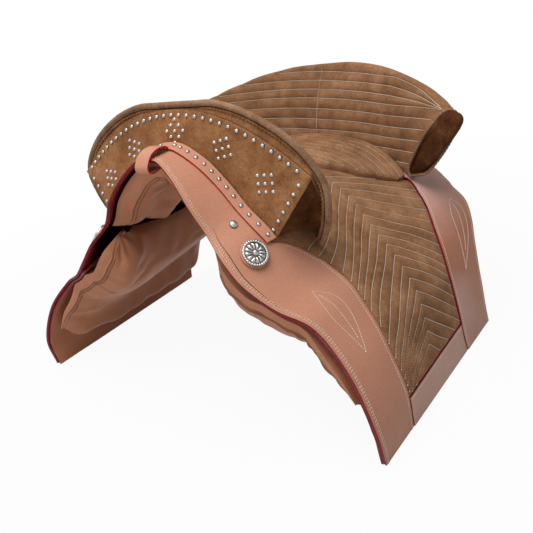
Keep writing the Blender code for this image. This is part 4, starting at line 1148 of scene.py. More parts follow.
def flat_curve(points, count):
    """u and t along a smooth curve through (u, t) points."""
    return spline([(0, *point) for point in points], np.linspace(0, len(points) - 1, count))[:, 1:].T


def sew_side(group, side):
    how = {"sides": (side,)}
    for upper, lower, inset, top, lift in EDGE_ROWS:
        edge = outline(upper, lower)
        u, t = side_places(edge, edge, (EDGE_ROW_PLACES, EDGE_ROW_PLACES, 2))
        keep = t[:, 0] > top
        sew_on_skin(group, (u[:, 0] + inset)[keep], t[:, 0][keep], lift=lift, **how)
    share = np.full(120, BOTTOM_STRIP_AT + STRIP_ROW_DOWN)
    u = np.linspace(float(along(FRONT_STRIP, share[0])) + STRIP_ROW_INSET,
                    float(along(REAR_STRIP, share[0])) - STRIP_ROW_INSET, 120)
    sew_on_skin(group, u, drop_t(u, share), lift=STRIP_RISE, **how)
    for (top, bottom, *edges, vein), lift in ((FRONT_LEAF, 0.0), (REAR_LEAF, REAR_RISE)):
        curves = [((top, *edge, bottom), 80) for edge in edges] + [(vein, 60)]
        for points, count in curves:
            sew_on_skin(group, *flat_curve(points, count), lift=lift, **FINE_STITCH, **how)
    sew_quilting(group, how)


def sew_quilting(group, how):
    reach = np.linspace(0.0, LONGEST_LEG, 220)
    for n in range(-QUILT_ABOVE, QUILT_COUNT + 1):
        apex = QUILT_FIRST[1] + n * QUILT_PITCH
        for way, slope in ((1, along(RIGHT_SLOPE, apex)), (-1, left_slope(apex, reach))):
            u = apex_u(apex) + way * reach
            t = t_at(u, apex + slope * reach)
            share = (t - HINGE_T - u) / (LAST_T - HINGE_T - u)
            low = np.where(share < 0, along(ARCH_REAR, t), along(FRONT_STRIP, share)) + QUILT_ROW_INSET
            high = np.where(share < 0, along(QUILT_REAR, t), along(REAR_STRIP, share)) - QUILT_ROW_INSET
            keep = (u > low) & (u < high) & (share < BOTTOM_STRIP_AT - STRIP_ROW_DOWN) & (t < LAST_T)
            stop = int(np.argmin(np.append(keep, False)))
            if stop > 3:
                sew_on_skin(group, u[:stop], t[:stop], lift=QUILT_STITCH_LIFT, **FINE_STITCH, **how)


# Sweat flaps and stuffed panels
def pocket(u, t):
    return ease(*POCKET_U[0], u) * ease(*POCKET_U[1], u) * (1 - POCKET_LOSS * ease(*POCKET_T, t))


def sweat_depth(u, t):
    return SWEAT_EDGE_DEPTH + POCKET_DEPTH * pocket(u, t)


def make_sweat_flap(word):
    front, rear = outline(FRONT_EDGE, None), outline(REAR_EDGE_UP, REAR_EDGE)

    def row(t, share, higher_in=(0, 0)):
        return (t, front(None, share) + SWEAT_INSET[0] + higher_in[0],
                rear(None, share) - SWEAT_INSET[1] - higher_in[1])

    table = [*SWEAT_TOP, row(SWEAT_SHOULDER[0], 0.0, SWEAT_SHOULDER[1:])]
    table += [row(t, (t - HINGE_T) / (LAST_T - HINGE_T)) for t in np.arange(HINGE_T, LAST_T + 0.01, 0.5)]
    at, low, high = np.array(table).T
    rows, columns = SWEAT_GRID
    t = np.linspace(at[0], at[-1], rows)
    low, high = np.interp(t, at, low), np.interp(t, at, high)
    u = low[:, None] + (high - low)[:, None] * np.linspace(0, 1, columns)[None, :]
    t = np.repeat(t[:, None], columns, axis=1)
    outer, inner = (skin(u, t, sweat_depth(u, t) + deeper) for deeper in (0, SWEAT_LEATHER))
    for grid in (outer, inner):
        grid[-1, :, 2] = 0
    piece = slab("sweat_leather_" + word, outer, inner, ["leather", "panel", "edge"], SIDES[word],
                 round_edge=THIN_CUT_ROUNDING)
    finish(piece, "sweat_flap_" + word)


def rounded_places(start, stop, counts):
    """Places from 0 to 1 with the share of the full height there; both ends turn over a quarter circle."""
    first = np.linspace(0, math.pi / 2, counts[0], endpoint=False)
    last = np.linspace(math.pi / 2, 0, counts[2] + 1)[1:]
    middle = np.linspace(start, 1 - stop, counts[1] + 1)
    places = np.concatenate([start * (1 - np.cos(first)), middle, 1 - stop * (1 - np.cos(last))])
    return places, np.concatenate([np.sin(first), np.ones(counts[1] + 1), np.sin(last)])


def face_normals(grid):
    return unit(np.cross(np.gradient(grid, axis=0), np.gradient(grid, axis=1)))


def corners(mesh):
    places = np.zeros(len(mesh.vertices) * 3)
    mesh.vertices.foreach_get("co", places)
    return places.reshape(-1, 3)


def nearest(points):
    tree = KDTree(len(points))
    for k, point in enumerate(points):
        tree.insert(point, k)
    tree.balance()
    return tree


def settled(grid, base, name):
    """Movement of a padded face under its filling, from a cloth simulation on an even copy."""
    piece = slab(name, base, grid, ["panel", "panel", "panel"])
    outward_faces(piece)
    even = piece.modifiers.new("even", "REMESH")
    even.mode = "VOXEL"
    even.voxel_size = CLOTH_VOXEL
    settle(piece)
    before = corners(piece.data)
    tree = nearest(base.reshape(-1, 3))
    held = piece.vertex_groups.new(name="held")
    for k, point in enumerate(before):
        held.add([k], float(1 - ease(*CLOTH_HELD, tree.find(point)[2])), "REPLACE")
    cloth = piece.modifiers.new("cloth", "CLOTH")
    cloth.settings.quality = CLOTH_QUALITY
    cloth.settings.vertex_group_mass = "held"
    cloth.settings.use_pressure = True
    cloth.settings.uniform_pressure_force = CLOTH_PRESSURE
    cloth.settings.shrink_min = -CLOTH_SLACK
    cloth.settings.effector_weights.gravity = 0
    cloth.collision_settings.use_collision = False
    cloth.point_cache.frame_end = CLOTH_FRAMES
    scene = bpy.context.scene
    for frame_number in range(1, CLOTH_FRAMES + 1):
        scene.frame_set(frame_number)
    after = corners(piece.evaluated_get(bpy.context.evaluated_depsgraph_get()).to_mesh())
    scene.frame_set(1)
    move = after - before
    size = np.linalg.norm(move, axis=1, keepdims=True)
    move = move * np.minimum(1, CLOTH_CAP / np.maximum(size, 1e-9))
    bpy.data.objects.remove(piece)
    tree = nearest(before)
    moved = []
    for point in grid.reshape(-1, 3):
        found = tree.find_n(point, CLOTH_NEIGHBOURS)
        weight = np.array([1 / (gap + 0.001) for _, _, gap in found])
        moved.append((move[[k for _, k, _ in found]] * weight[:, None]).sum(0) / weight.sum())
    moved = np.array(moved).reshape(grid.shape)
    for _ in range(CLOTH_SMOOTHING):
        moved[1:-1] = (moved[:-2] + 2 * moved[1:-1] + moved[2:]) / 4
        moved[:, 1:-1] = (moved[:, :-2] + 2 * moved[:, 1:-1] + moved[:, 2:]) / 4
    return moved


def across_rows(grid):
    """Distance along the grid's first direction, from its start."""
    steps = np.linalg.norm(np.diff(grid, axis=0), axis=-1)
    return np.concatenate([np.zeros((1, grid.shape[1])), np.cumsum(steps, axis=0)])


def piped_seam(along_seam):
    """Relief and shade of a piped seam over the distance from it."""
    ridge, ridge_width, deep, gap, width = PIPING
    valley = np.exp(-((np.abs(along_seam) - gap) / width) ** 2)
    return ridge * np.exp(-(along_seam / ridge_width) ** 2) - deep * valley, 0.85 * valley


def ramped(values, at, place):
    """Value that goes from the first to the second between two places."""
    return values[0] + (values[1] - values[0]) * ease(*at, place)


def panel_shape():
    """Outer face, inner face and shade of a stuffed panel."""
    height = PANEL_T[1] - PANEL_T[0]
    round_u, round_rear, round_t, round_end = PANEL_ROUND
    i, high_i = rounded_places(round_u / PANEL_LENGTH, round_rear / PANEL_LENGTH, PANEL_GRID[0])
    j, high_j = rounded_places(round_t / height, round_end / height, PANEL_GRID[1])
    t = PANEL_T[0] + height * j
    front, rear = along(PANEL_FRONT, t), along(PANEL_REAR, t)
    u = front[None, :] + (rear - front)[None, :] * i[:, None]
    t = np.repeat(t[None, :], len(i), axis=0)
    t = t + PANEL_TOP_BACK * ease(*PANEL_TOP_BACK_U, u) * ease(0.45, 0, j)[None, :]
    more, *more_u = PANEL_LOW_BACK_MORE
    low_back = PANEL_LOW_BACK * ease(*PANEL_LOW_BACK_U, u) + more * ease(*more_u, u)
    t = t + low_back * ease(0.5, 1, j)[None, :]
    to_end = np.clip((1 - j)[None, :] * height / ramped(PANEL_LOW_REACH, PANEL_LOW_REACH_U, u), 0, 1)
    high_j = np.where(j < 0.5, high_j, np.sqrt(1 - (1 - to_end) ** 2))
    under_tree = (LEATHER + 2 * LAYER_GAP + TREE_THICKNESS) * ease(*PANEL_UNDER_TREE_T, t)
    depth = np.maximum(sweat_depth(u, t), under_tree) + SWEAT_LEATHER + PANEL_CLEARANCE
    depth = depth + PANEL_SLACK * ease(*PANEL_SLACK_T, t) * (1 - pocket(u, t))
    shoulder = PANEL_SHOULDER * ease(*PANEL_SHOULDER_T[0], t) * ease(*PANEL_SHOULDER_T[1], t)
    belly = PANEL_BELLY * ease(*PANEL_BELLY_U[0], u) * ease(*PANEL_BELLY_U[1], u)
    thick = ramped(PANEL_THICKNESS, PANEL_THIN_T, t) + shoulder * ease(*PANEL_SHOULDER_U, u)
    thick = thick + belly * ease(*PANEL_BELLY_T, t)
    wave, pitch, *wave_t = PANEL_SCALLOP
    scallop = 1 + wave * np.cos(2 * math.pi * u / pitch) * ease(*wave_t, t)
    outer = skin(u, t, depth)
    inner = skin(u, t, depth + thick * scallop * high_i[:, None] * high_j)
    inner = inner + settled(inner, outer, "panel_cloth")
    relief, shade = panel_relief(inner, t, int(np.argmax(high_i > PANEL_SEAM_AT)), high_j ** 2)
    return outer, inner - face_normals(inner) * relief[..., None], shade


def panel_relief(inner, t, seam_row, fade):
    """Relief and shade of a panel's piped seam, of the gathers and folds beside it and of its creases."""
    run = across_rows(inner)
    from_seam = run - run[seam_row]
    relief, shade = piped_seam(from_seam)
    inside = np.clip(from_seam - 0.003, 0, 1)
    on_face = ease(0.0, SEAM_EDGE, from_seam)
    deep, reach_in, pitch = GATHERS
    gather = np.sin(2 * math.pi * (pitch * t + 0.35 * np.sin(3.1 * t) + 0.2 * np.sin(7.7 * t)))
    relief = relief * fade + deep * gather * np.exp(-inside / reach_in) * on_face
    down = across_rows(inner.transpose(1, 0, 2)).T
    reach = np.hypot(inside, down)
    turn = np.arctan2(down, inside + 0.001)
    deep, reach_in, clear, count = FAN
    fan = np.exp(-(reach / reach_in) ** 2) * (1 - np.exp(-(reach / clear) ** 2)) * on_face
    relief = relief + deep * fan * np.sin(count * turn + 1.2 * np.sin(5 * turn))
    for at, reach_in, deep, wide, lean in CREASES:
        line = (t - at - lean * inside / 0.1) * 0.030
        length = np.exp(-(inside / reach_in) ** 2) * on_face
        ridge = np.exp(-((line - 2 * wide) / wide) ** 2)
        relief = relief - deep * length * np.exp(-(line / wide) ** 2) + 0.5 * deep * length * ridge
        shade = shade + 0.22 * length * np.exp(-(line / (0.6 * wide)) ** 2)
    return relief, np.clip(shade * fade, 0, 1)


PANEL_SHAPE = panel_shape()


def padded_slab(name, outer, inner, shade, replaced, fill, side=1):
    """Stuffed leather cushion; outer is its hidden face."""
    piece = slab(name, inner.transpose(1, 0, 2), outer.transpose(1, 0, 2), ["panel", "panel", "panel"], side,
                 groove=shade.T)
    finish(piece, replaced)


def make_panel(word):
    padded_slab("panel_leather_" + word, *PANEL_SHAPE, "panel_" + word, 0.7, SIDES[word])


def make_lining():
    round_u, round_rear, round_t = LINING_ROUND
    i, high_i = rounded_places(round_u / LINING_LENGTH, round_rear / LINING_LENGTH, LINING_GRID[0])
    j, high_j = rounded_places(round_t / (2 * LINING_T), round_t / (2 * LINING_T), LINING_GRID[1])
    t = np.repeat((-LINING_T + 2 * LINING_T * j)[None, :], len(i), axis=0)
    front = along(FRONT_EDGE, np.abs(t)) + LINING_U[0]
    u = front + (LINING_U[1] - front) * i[:, None]
    t = t * (1 + LINING_SPREAD * ease(*LINING_SPREAD_U, u))
    full = LEATHER + 3 * LAYER_GAP + TREE_THICKNESS + PLATE_THICKNESS
    depth = ramped((LINING_FRONT_DEPTH, full), LINING_DEEPER_U, u)
    outer = skin(u, t, depth)
    inner = skin(u, t, depth + (full + LINING_THICKNESS - depth) * high_i[:, None] * high_j[None, :])
    inner = inner + settled(inner, outer, "lining_cloth")
    run = across_rows(inner)
    relief, shade = piped_seam(run - run[int(np.argmax(high_i > LINING_SEAM_AT))])
    fade = high_j[None, :] ** 2
    inner = inner - face_normals(inner) * (relief * fade)[..., None]
    padded_slab("arch_padding", outer, inner, shade * fade, "arch_lining", 0.6)


def make_shadow_sheets():
    """Painted shadow: black sheets over the front of the tree and under its bars, where the gaps are in
    shade.
    """
    t = np.linspace(-SHADOW_SHEET_T, SHADOW_SHEET_T, 160)
    path = np.array(SHADOW_SHEET)
    u, depth = (np.repeat(path[:, column:column + 1], len(t), axis=1) for column in (0, 1))
    depth[-1] = depth[-1] + SHADOW_SHEET_DEEPER * ease(*SHADOW_SHEET_DEEP_T, np.abs(t))
    front = skin(u, np.repeat(t[None, :], len(path), axis=0), depth)
    shadow_sheets = [("arch_shadow_sheet", front, front + np.array((0, SHADOW_SHEET_THICKNESS, 0)), 1)]
    u, t = np.meshgrid(np.linspace(*BAR_SHADOW_U, 30), np.linspace(*BAR_SHADOW_T, 30), indexing="ij")
    faces = [even_layer(u, t, BAR_SHADOW_DEPTH + deeper) for deeper in (0, BAR_SHADOW_THICKNESS)]
    shadow_sheets += [("bar_cover_" + word, *faces, side) for word, side in SIDES.items()]
    for name, outer, inner, side in shadow_sheets:
        finish(slab(name, outer, inner, ["shadow", "shadow", "shadow"], side))


# Seat and cantle
def seat_base(t, k):
    """Height of the seat's stuffing at k from its front edge to its rear one."""
    across = 1 - (t / SEAT_EDGE_T) ** 2
    return SEAT_EDGE_HEIGHT + SEAT_REAR_RISE * k * across + SEAT_CROWN * across


def seat_up(u, t):
    """Direction in which the seat is stuffed: the leather's normal without its lean along the saddle."""
    up = normal(u, t)
    up[..., 1] = 0
    return unit(up)


def make_seat():
    rows, columns = SEAT_GRID
    t = np.linspace(-SEAT_EDGE_T, SEAT_EDGE_T, columns)[None, :] * np.ones((rows, 1))
    k = np.linspace(0, 1, rows)[:, None] * np.ones((1, columns))
    front = along(SEAT_SEAM, np.abs(t)) + SEAM_GAP
    rear = along(SEAT_REAR, np.abs(t)) - SEAM_GAP
    u = front + (rear - front) * k
    phase = (rear - u) / ARC_PITCH
    front_fade = np.clip((u - front) / SEAT_FRONT_ROUND, 0, 1)
    least, gained = SEAT_FRONT_SHARES
    stuffing = seat_base(t, k) * (least + gained * np.sqrt(front_fade))
    height = stuffing + SEAT_PUFF * puffed(phase) - SEAT_GROOVE
    outer = (surface(u, t) + seat_up(u, t) * height[..., None]).transpose(1, 0, 2)
    inner = even_layer(u, t, LEATHER - LAYER_GAP).transpose(1, 0, 2)
    piece = slab("seat_suede", outer, inner, ["suede", "flesh", "suede"],
                 groove=seam_shade(phase, phase > 0.4).T)
    finish(piece, "seat_cushion")
    t = np.linspace(-SEAT_EDGE_T, SEAT_EDGE_T, 400)
    front, rear = along(SEAT_SEAM, np.abs(t)), along(SEAT_REAR, np.abs(t))
    for n in range(1, SEAT_ARCS + 1):
        u = rear - SEAM_GAP - n * ARC_PITCH
        keep = u > front + SEAT_ARC_END
        if keep.sum() < 6:
            continue
        height = (seat_base(t, (u - front) / (rear - front)) - SEAT_GROOVE)[keep, None] + SEAT_STITCH_LIFT
        up = seat_up(u[keep], t[keep])
        sew("saddle", surface(u[keep], t[keep]) + up * height, up, **FINE_STITCH)


def edge_curve(edge, share):
    """Edge of the cantle roll at a signed share from its centre to its end."""
    points = np.array(edge, float)
    mirror = points[1:2] * np.array((-1.0, 1.0, 1.0))
    ends = np.concatenate([mirror, points, 2 * points[-1:] - points[-2:-1]])
    at = np.abs(share) * (len(points) - 1)
    i = np.clip(np.floor(at).astype(int), 0, len(points) - 2)
    place = catmull(*(ends[i + k] for k in range(4)), (at - i)[..., None])
    return np.stack([place[..., 0] * np.where(share < 0, -1.0, 1.0), FRONT_TIP_Y + place[..., 1],
                     place[..., 2]], -1)


def surface_z(x, u):
    """Height of the outer surface above a place near the top."""
    t = np.linspace(0, 7.5, 400)
    points = surface(np.full(t.shape, u), t)
    return float(np.interp(x, points[:, 0], points[:, 2]))


def skirt_z(point):
    return surface_z(abs(point[0]), point[1] - FRONT_TIP_Y)


def cantle_edges(share):
    """Foot, top, top back and back foot of the roll; its back swells towards the ends."""
    foot, top, back, low = (edge_curve(edge, share) for edge in
                            (CANTLE_FOOT, CANTLE_TOP, CANTLE_TOP_BACK, CANTLE_BACK_FOOT))
    swell = (CANTLE_END_SWELL * ease(*CANTLE_SWELL_AT, np.abs(share)))[..., None] * unit(back - top)
    drop = along(CANTLE_DROP, np.abs(share))[..., None] * np.array((0.0, 0.0, 1.0))
    return foot, top - drop, back - drop + swell, low + swell


def cantle_row(point, top):
    """Count of stitched rows down to a place; on the near wing the upper rows draw in under the top."""
    level = along(CANTLE_LEVEL, point[..., 0])
    above, below = CANTLE_PITCH
    drawn_in = (top[..., 2] - level) / (CANTLE_LEVEL_ROW - CANTLE_TOP_ROW)
    drawn_in = np.clip(drawn_in, CANTLE_LEAST_PITCH, above)
    above = np.where(point[..., 0] > 0, drawn_in, above)
    down = level - point[..., 2]
    return CANTLE_LEVEL_ROW + np.where(down < 0, down / above, down / below)


def row_puff(row):
    return np.where(row < 1, np.maximum(puffed(row), ease(1, 0.5, row)), puffed(row))


def cantle_face(share, k, stuffed=True):
    """Point on the cantle's front face, k from its foot to its top, with its row."""
    foot, top, back, _ = cantle_edges(share)
    across = unit(back - top)
    flat = foot + (top - foot) * k[..., None]
    row = cantle_row(flat, top)
    middle_seam = MIDDLE_SEAM[0] * np.exp(-((flat[..., 0] - CANTLE_MIDDLE_X) / MIDDLE_SEAM[1]) ** 2)
    puff = PUFF * row_puff(row) * (1 - middle_seam) if stuffed else 0.0
    bulge = CANTLE_BULGE * np.sin(math.pi * np.clip(k, 0, 1)) + puff - GROOVE
    return flat - across * bulge[..., None], -across, row


def cantle_roll(share, angle, stuffed=True):
    """Point on the rolled top, angle from the front (0) to the back (pi), with its row."""
    foot, top, back, _ = cantle_edges(share)
    across, rise = unit(back - top), unit(top - foot)
    row = cantle_row(top, top)
    half = np.linalg.norm(back - top, axis=-1) / 2
    high = ramped(CANTLE_ROLL, CANTLE_HIGH_AT, np.abs(share))
    out = rise * np.sin(angle)[..., None] - across * np.cos(angle)[..., None]
    puff = PUFF * row_puff(row) - GROOVE if stuffed else -GROOVE * np.ones_like(row)
    place = ((top + back) / 2 - across * (half * np.cos(angle))[..., None]
             + rise * (high * np.sin(angle))[..., None])
    return place + out * (puff * (1 - angle / math.pi))[..., None], out, row


def even_ring(ring, count):
    """Even places round a closed ring with their distances, and its own points with theirs."""
    closed = np.concatenate([ring, ring[:1]])
    at = distances(closed)
    even = np.linspace(0, at[-1], count, endpoint=False)
    return between(even, at, closed), even, at


def rounded(ring, width):
    """Ring with its corners rounded off over a width."""
    line, even, at = even_ring(ring, RING_PLACES)
    reach = range(-30, 31)
    weight = np.exp(-(np.array(reach) * at[-1] / RING_PLACES / width) ** 2)
    soft = sum(w * np.roll(line, -k, 0) for k, w in zip(reach, weight / weight.sum()))
    return between(at[:-1], np.append(even, at[-1]), np.concatenate([soft, soft[:1]]))


def cantle_ring(share):
    """Closed section of the roll at one share, with the painted shade of its seams at each point."""
    k = np.linspace(0, 1, 120)
    angle = np.linspace(0, math.pi, 16)[1:-1]
    foot, top, back, low_back = cantle_edges(np.array(share))
    face, _, face_row = cantle_face(np.full(k.shape, share), k)
    roll, _, roll_row = cantle_roll(np.full(angle.shape, share), angle)
    low = foot.copy()
    low[2] = max(skirt_z(foot) + LAYER_GAP, foot[2] - CANTLE_LOW_REACH)
    down = np.linspace(0, 1, 12)
    behind = (back + (low_back - back) * down[:, None]
              + unit(back - top) * CANTLE_BACK_BULGE[0] * np.sin(math.pi * down)[:, None])
    above = max(behind[-1, 2] - (skirt_z(low_back) + LAYER_GAP), 0)
    behind[-1, 2] -= above * float(ease(*CANTLE_FOOT_DOWN_AT, abs(share)))
    ring = np.concatenate([low[None], face, roll, behind])
    rows = np.concatenate([[0], face_row, roll_row, np.zeros(len(behind))])
    soft = float(ease(*CANTLE_ROUND_AT, abs(share)))
    return ring * (1 - soft) + rounded(ring, CANTLE_CAP_ROUNDING) * soft, seam_shade(rows, rows > 0.7)


def cantle_cap(ring, before):
    """Rings that close one end of the roll with a rounded cap."""
    centre = ring.mean(0)
    out = unit(centre - before.mean(0))
    reach = ring - centre
    far = np.linalg.norm(reach, axis=1)
    tall = unit(reach[far.argmax()])
    wide = unit(np.cross(out, tall))
    x, y = reach @ tall, reach @ wide
    cap = []
    for a in np.linspace(0, 0.5 * math.pi, 9)[1:]:
        inset = CANTLE_CAP_ROUNDING * (1 - math.cos(a))
        cap.append(centre + np.outer(x * (1 - inset / far.max()), tall)
                   + np.outer(y * (1 - inset / np.abs(y).max()), wide)
                   + np.outer(reach @ out, out) + out * CANTLE_CAP_BULGE * math.sin(a))
    last = cap[-1]
    for share in (0.6, 0.25):
        cap.append(last.mean(0) + (last - last.mean(0)) * share + out * CANTLE_CAP_CROWN * (1 - share))
    return cap


def make_cantle():
    made = [cantle_ring(share) for share in np.linspace(-1, 1, CANTLE_RINGS)]
    roll = np.array([ring for ring, _ in made])
    seams = np.array([seam for _, seam in made])
    caps = [cantle_cap(roll[0], roll[10]), cantle_cap(roll[-1], roll[-11])]
    count = len(caps[0])
    blank = np.zeros((count, seams.shape[1]))
    # The end caps are dark suede, partly painted shade
    kinds = np.repeat([0, 1, 0], [count, len(roll) - 1, count])
    piece = loft("cantle_suede", np.concatenate([caps[0][::-1], roll, caps[1]]), ["dark suede with painted shade", "suede"],
                 np.repeat(kinds[:, None], roll.shape[1], axis=1), np.concatenate([blank, seams, blank]))
    finish(piece, "cantle_bolster")
    sew_cantle()
    make_cantle_ends(roll[0], roll[-1])
    make_cantle_back()


def sew_cantle():
    shares, k = np.linspace(-.985, .985, 500), np.linspace(0, 1, 160)
    foot, top, _, _ = cantle_edges(shares)
    flat = foot[:, None] + (top - foot)[:, None] * k[None, :, None]
    rows = cantle_row(flat, np.repeat(top[:, None], len(k), axis=1))
    far = shares < 0
    lines = []
    for n in range(1, CANTLE_ROWS + 1):
        inside = (rows[:, 0] > n + 0.15) & (rows[:, -1] < n - 0.02)
        for start in np.flatnonzero(np.diff(np.concatenate([[False], inside]).astype(int)) == 1):
            stop = start + int(np.argmin(np.append(inside[start:], False)))
            if stop - start >= 8:
                height = np.array([np.interp(-n, -row, k) for row in rows[start:stop]])
                lines.append(cantle_face(shares[start:stop], height, False))
        if rows[far, -1].max() > n:
            share = float(np.interp(-n, -rows[far, -1], shares[far]))
            lines.append(cantle_roll(np.full(20, share), np.linspace(0.05, math.pi * 0.5, 20), False))
    for path, out, _ in lines:
        sew("saddle", path + out * STITCH_LIFT, out, **FINE_STITCH)
    middle = np.full(60, CANTLE_MIDDLE_X / edge_curve(CANTLE_TOP, np.array(0.3))[0] * 0.3)
    path, out, _ = cantle_face(middle, np.linspace(0.02, 1, 60))
    sew("saddle", path - out * MIDDLE_STITCH_SINK, out, **FINE_STITCH)


def make_cantle_ends(far_ring, near_ring):
    """Ruffled, whip-stitched seams round the end caps."""
    middle = near_ring.mean(0) * (0, 1, 1)
    radius, ruffle, pitch = CAP_SEAM
    for word, ring in (("right", far_ring), ("left", near_ring)):
        line, even, _ = even_ring(ring, 360)
        cord = radius + ruffle * np.abs(np.sin(even / pitch * math.pi))
        finish(tube("cantle_cap_seam_" + word, line, cord, ["worn suede"], 8, closed=True))
        out = unit(unit(line - line.mean(0)) + unit(line.mean(0) - middle))
        sew("saddle", line + out * CAP_STITCH_LIFT, out, **CAP_STITCH)


def make_cantle_back():
    shares = np.linspace(-CANTLE_BACK_SHARE, CANTLE_BACK_SHARE, 160)
    _, top, back, low = cantle_edges(shares)
    gap = np.maximum(low[:, 2] - np.array([skirt_z(point) for point in low]) - CANTLE_BACK_LIFT, 0)
    low[:, 2] -= gap * ease(*CANTLE_BACK_DOWN_AT, np.abs(shares))
    across = unit(back - top)
    flat = unit(across * np.array((1.0, 1.0, 0.0)))
    k = np.linspace(0.06, 1.0, 40)
    bulge = CANTLE_BACK_BULGE[0] * np.sin(math.pi * k) + CANTLE_BACK_BULGE[1]
    place = (back[:, None] + (low - back)[:, None] * k[None, :, None]
             + across[:, None] * bulge[None, :, None])
    outer = place + flat[:, None] * CANTLE_BACK_LEATHER
    piece = slab("cantle_back_leather", outer, place, ["leather", "flesh", "edge"],
                 round_edge=THIN_CUT_ROUNDING)
    finish(piece, "cantle_back")
    for row in (2, -3):
        sew("saddle", outer[3:-3, row] + flat[3:-3] * BACK_STITCH_LIFT, flat[3:-3])


# Pommel
ARCH_TABLE = surface(along(FACE_FOOT, np.linspace(0, 5.3, 500)), np.linspace(0, 5.3, 500))
ARCH_END = ARCH_TABLE[-1]


def face_bottom(x):
    x = np.asarray(x, float)
    on_arch = np.stack([x, np.interp(x, ARCH_TABLE[:, 0], ARCH_TABLE[:, 1]),
                        np.interp(x, ARCH_TABLE[:, 0], ARCH_TABLE[:, 2]) + FACE_LIFT], -1)
    corner = np.array((FACE_CORNER[0], FRONT_TIP_Y + FACE_CORNER[1], FACE_CORNER[2]))
    k = np.clip((x - ARCH_END[0]) / (corner[0] - ARCH_END[0]), 0, 1)[..., None]
    side = ARCH_END + np.array((0, 0, FACE_LIFT)) * (1 - k) + (corner - ARCH_END) * k
    return np.where((x <= ARCH_END[0])[..., None], on_arch, side)


def face_top(x):
    x = np.asarray(x, float)
    return np.stack([x, FRONT_TIP_Y + FACE_TOP_Y - FACE_TOP_BOW * x * x,
                     FACE_TOP_Z - FACE_TOP_FALL * x * x], -1)


def face_point(x, z):
    low, top = face_bottom(np.abs(x)), face_top(np.abs(x))
    k = ((z - low[..., 2]) / (top[..., 2] - low[..., 2]))[..., None]
    point = low + (top - low) * k
    return np.stack([x * np.ones_like(z), point[..., 1], z * np.ones_like(x)], -1)


def face_normal(x, z):
    step = 0.002
    across = face_point(x + step, z) - face_point(x - step, z)
    up = face_point(x, z + step) - face_point(x, z - step)
    return unit(np.cross(across, up))


def rim_line(inset, count=140):
    line = spline(RIM, np.linspace(0, len(RIM) - 1, count))
    run = np.gradient(line, axis=0)
    run[0, 2] = 0
    inward = unit(np.stack([run[:, 2], 0 * run[:, 0], -run[:, 0]], -1))
    return line + np.array((0, FRONT_TIP_Y, 0)) + inward * inset


INNER_RIM = rim_line(2 * RIM_RADIUS + SEAM_GAP)
RIM_TURN = int(np.argmax(INNER_RIM[:, 0]))


def rim_height(x, upper):
    part = INNER_RIM[:RIM_TURN + 1] if upper else INNER_RIM[RIM_TURN:][::-1]
    return float(np.interp(x, part[:, 0], part[:, 2]))


def pommel_ring(x):
    """Closed section of the pommel's body at one x."""
    a = abs(x)
    low, top = face_bottom(a), face_top(a)
    if a > FACE_CORNER[0]:
        middle = (rim_height(a, True) + rim_height(a, False)) / 2
        low, top = (np.array((a, FRONT_TIP_Y + u, middle + over)) for u, over in POMMEL_TIP)
    side = min(max((a - ARCH_END[0]) / (POMMEL_END_X - ARCH_END[0]), 0), 1)
    rear_u = POMMEL_BACK_U + (POMMEL_BACK_END_U - POMMEL_BACK_U) * side
    ring = []
    for k in np.linspace(0, 1, 17):
        u = (low[1] - FRONT_TIP_Y) * (1 - k) + rear_u * k
        z = surface_z(a, u) + FACE_LIFT
        if a > ARCH_END[0]:
            z = max(z, low[2] + (rim_height(a, False) - low[2]) * k)
        ring.append((x, FRONT_TIP_Y + u, z if k else low[2]))
    crest = rim_height(a, True)
    share, lift = POMMEL_BACK_MIDDLE
    knots = [ring[-1], (x, FRONT_TIP_Y + POMMEL_BACK_END_U + (rear_u - POMMEL_BACK_END_U) * share,
                        (crest + ring[-1][2]) / 2 + lift)]
    knots += [(x, FRONT_TIP_Y + u, crest + over) for u, over in POMMEL_CREST]
    ring += [tuple(p) for p in spline(knots, np.linspace(0, 3, 19))[1:]]
    front = np.array((x, top[1], top[2]))
    return ring + [tuple(np.array(knots[-1]) * (1 - k) + front * k) for k in (0.33, 0.67, 1)]


def make_pommel():
    stations = np.concatenate([np.linspace(*part) for part in POMMEL_STATIONS])
    stations = np.concatenate([-stations[:0:-1], stations])
    rings = np.array([pommel_ring(x) for x in stations])
    # Sides and back of the body are dark suede, partly painted shade; its front strips are face suede
    kinds = np.ones((len(rings) - 1, rings.shape[1]), int)
    kinds[:, -4:-1] = 2
    piece = loft("pommel_body", rings, ["suede", "dark suede with painted shade", "face suede"], kinds, sharp=50)
    finish(piece, "pommel_bolster")
    make_face()
    make_face_studs()
    make_rim()


def mirrored(edge, x):
    """Points of an edge of the face at signed x."""
    line = edge(np.abs(x))
    line[:, 0] = x
    return line


def make_face():
    x = np.linspace(-FACE_CORNER[0] + 0.001, FACE_CORNER[0] - 0.001, 220)
    low, top = mirrored(face_bottom, x), mirrored(face_top, x)
    k = np.linspace(0, 1, 40)
    place = low[:, None] + (top - low)[:, None] * k[None, :, None]
    outer = place - np.array((0, FACE_THICKNESS + FACE_GAP, 0))
    outer[..., 1] -= FACE_PILLOW * np.sin(math.pi * k)
    inner = place - np.array((0, FACE_GAP, 0))
    face = slab("pommel_front", outer, inner, ["face suede", "suede", "suede"], round_edge=THIN_CUT_ROUNDING)
    finish(face, "pommel_face")
    line = mirrored(face_top, np.linspace(-FACE_SEAM_X, FACE_SEAM_X, 300))
    sew("saddle", line - np.array((0, FACE_THICKNESS + FACE_GAP, FACE_SEAM_DOWN)),
        np.tile((0.0, -1.0, 0.0), (300, 1)), radius=STITCH_RADIUS * 0.8)


def signs(x):
    """Signs for a place and its mirror image; just one at the middle."""
    return (1,) if x == 0 else (1, -1)


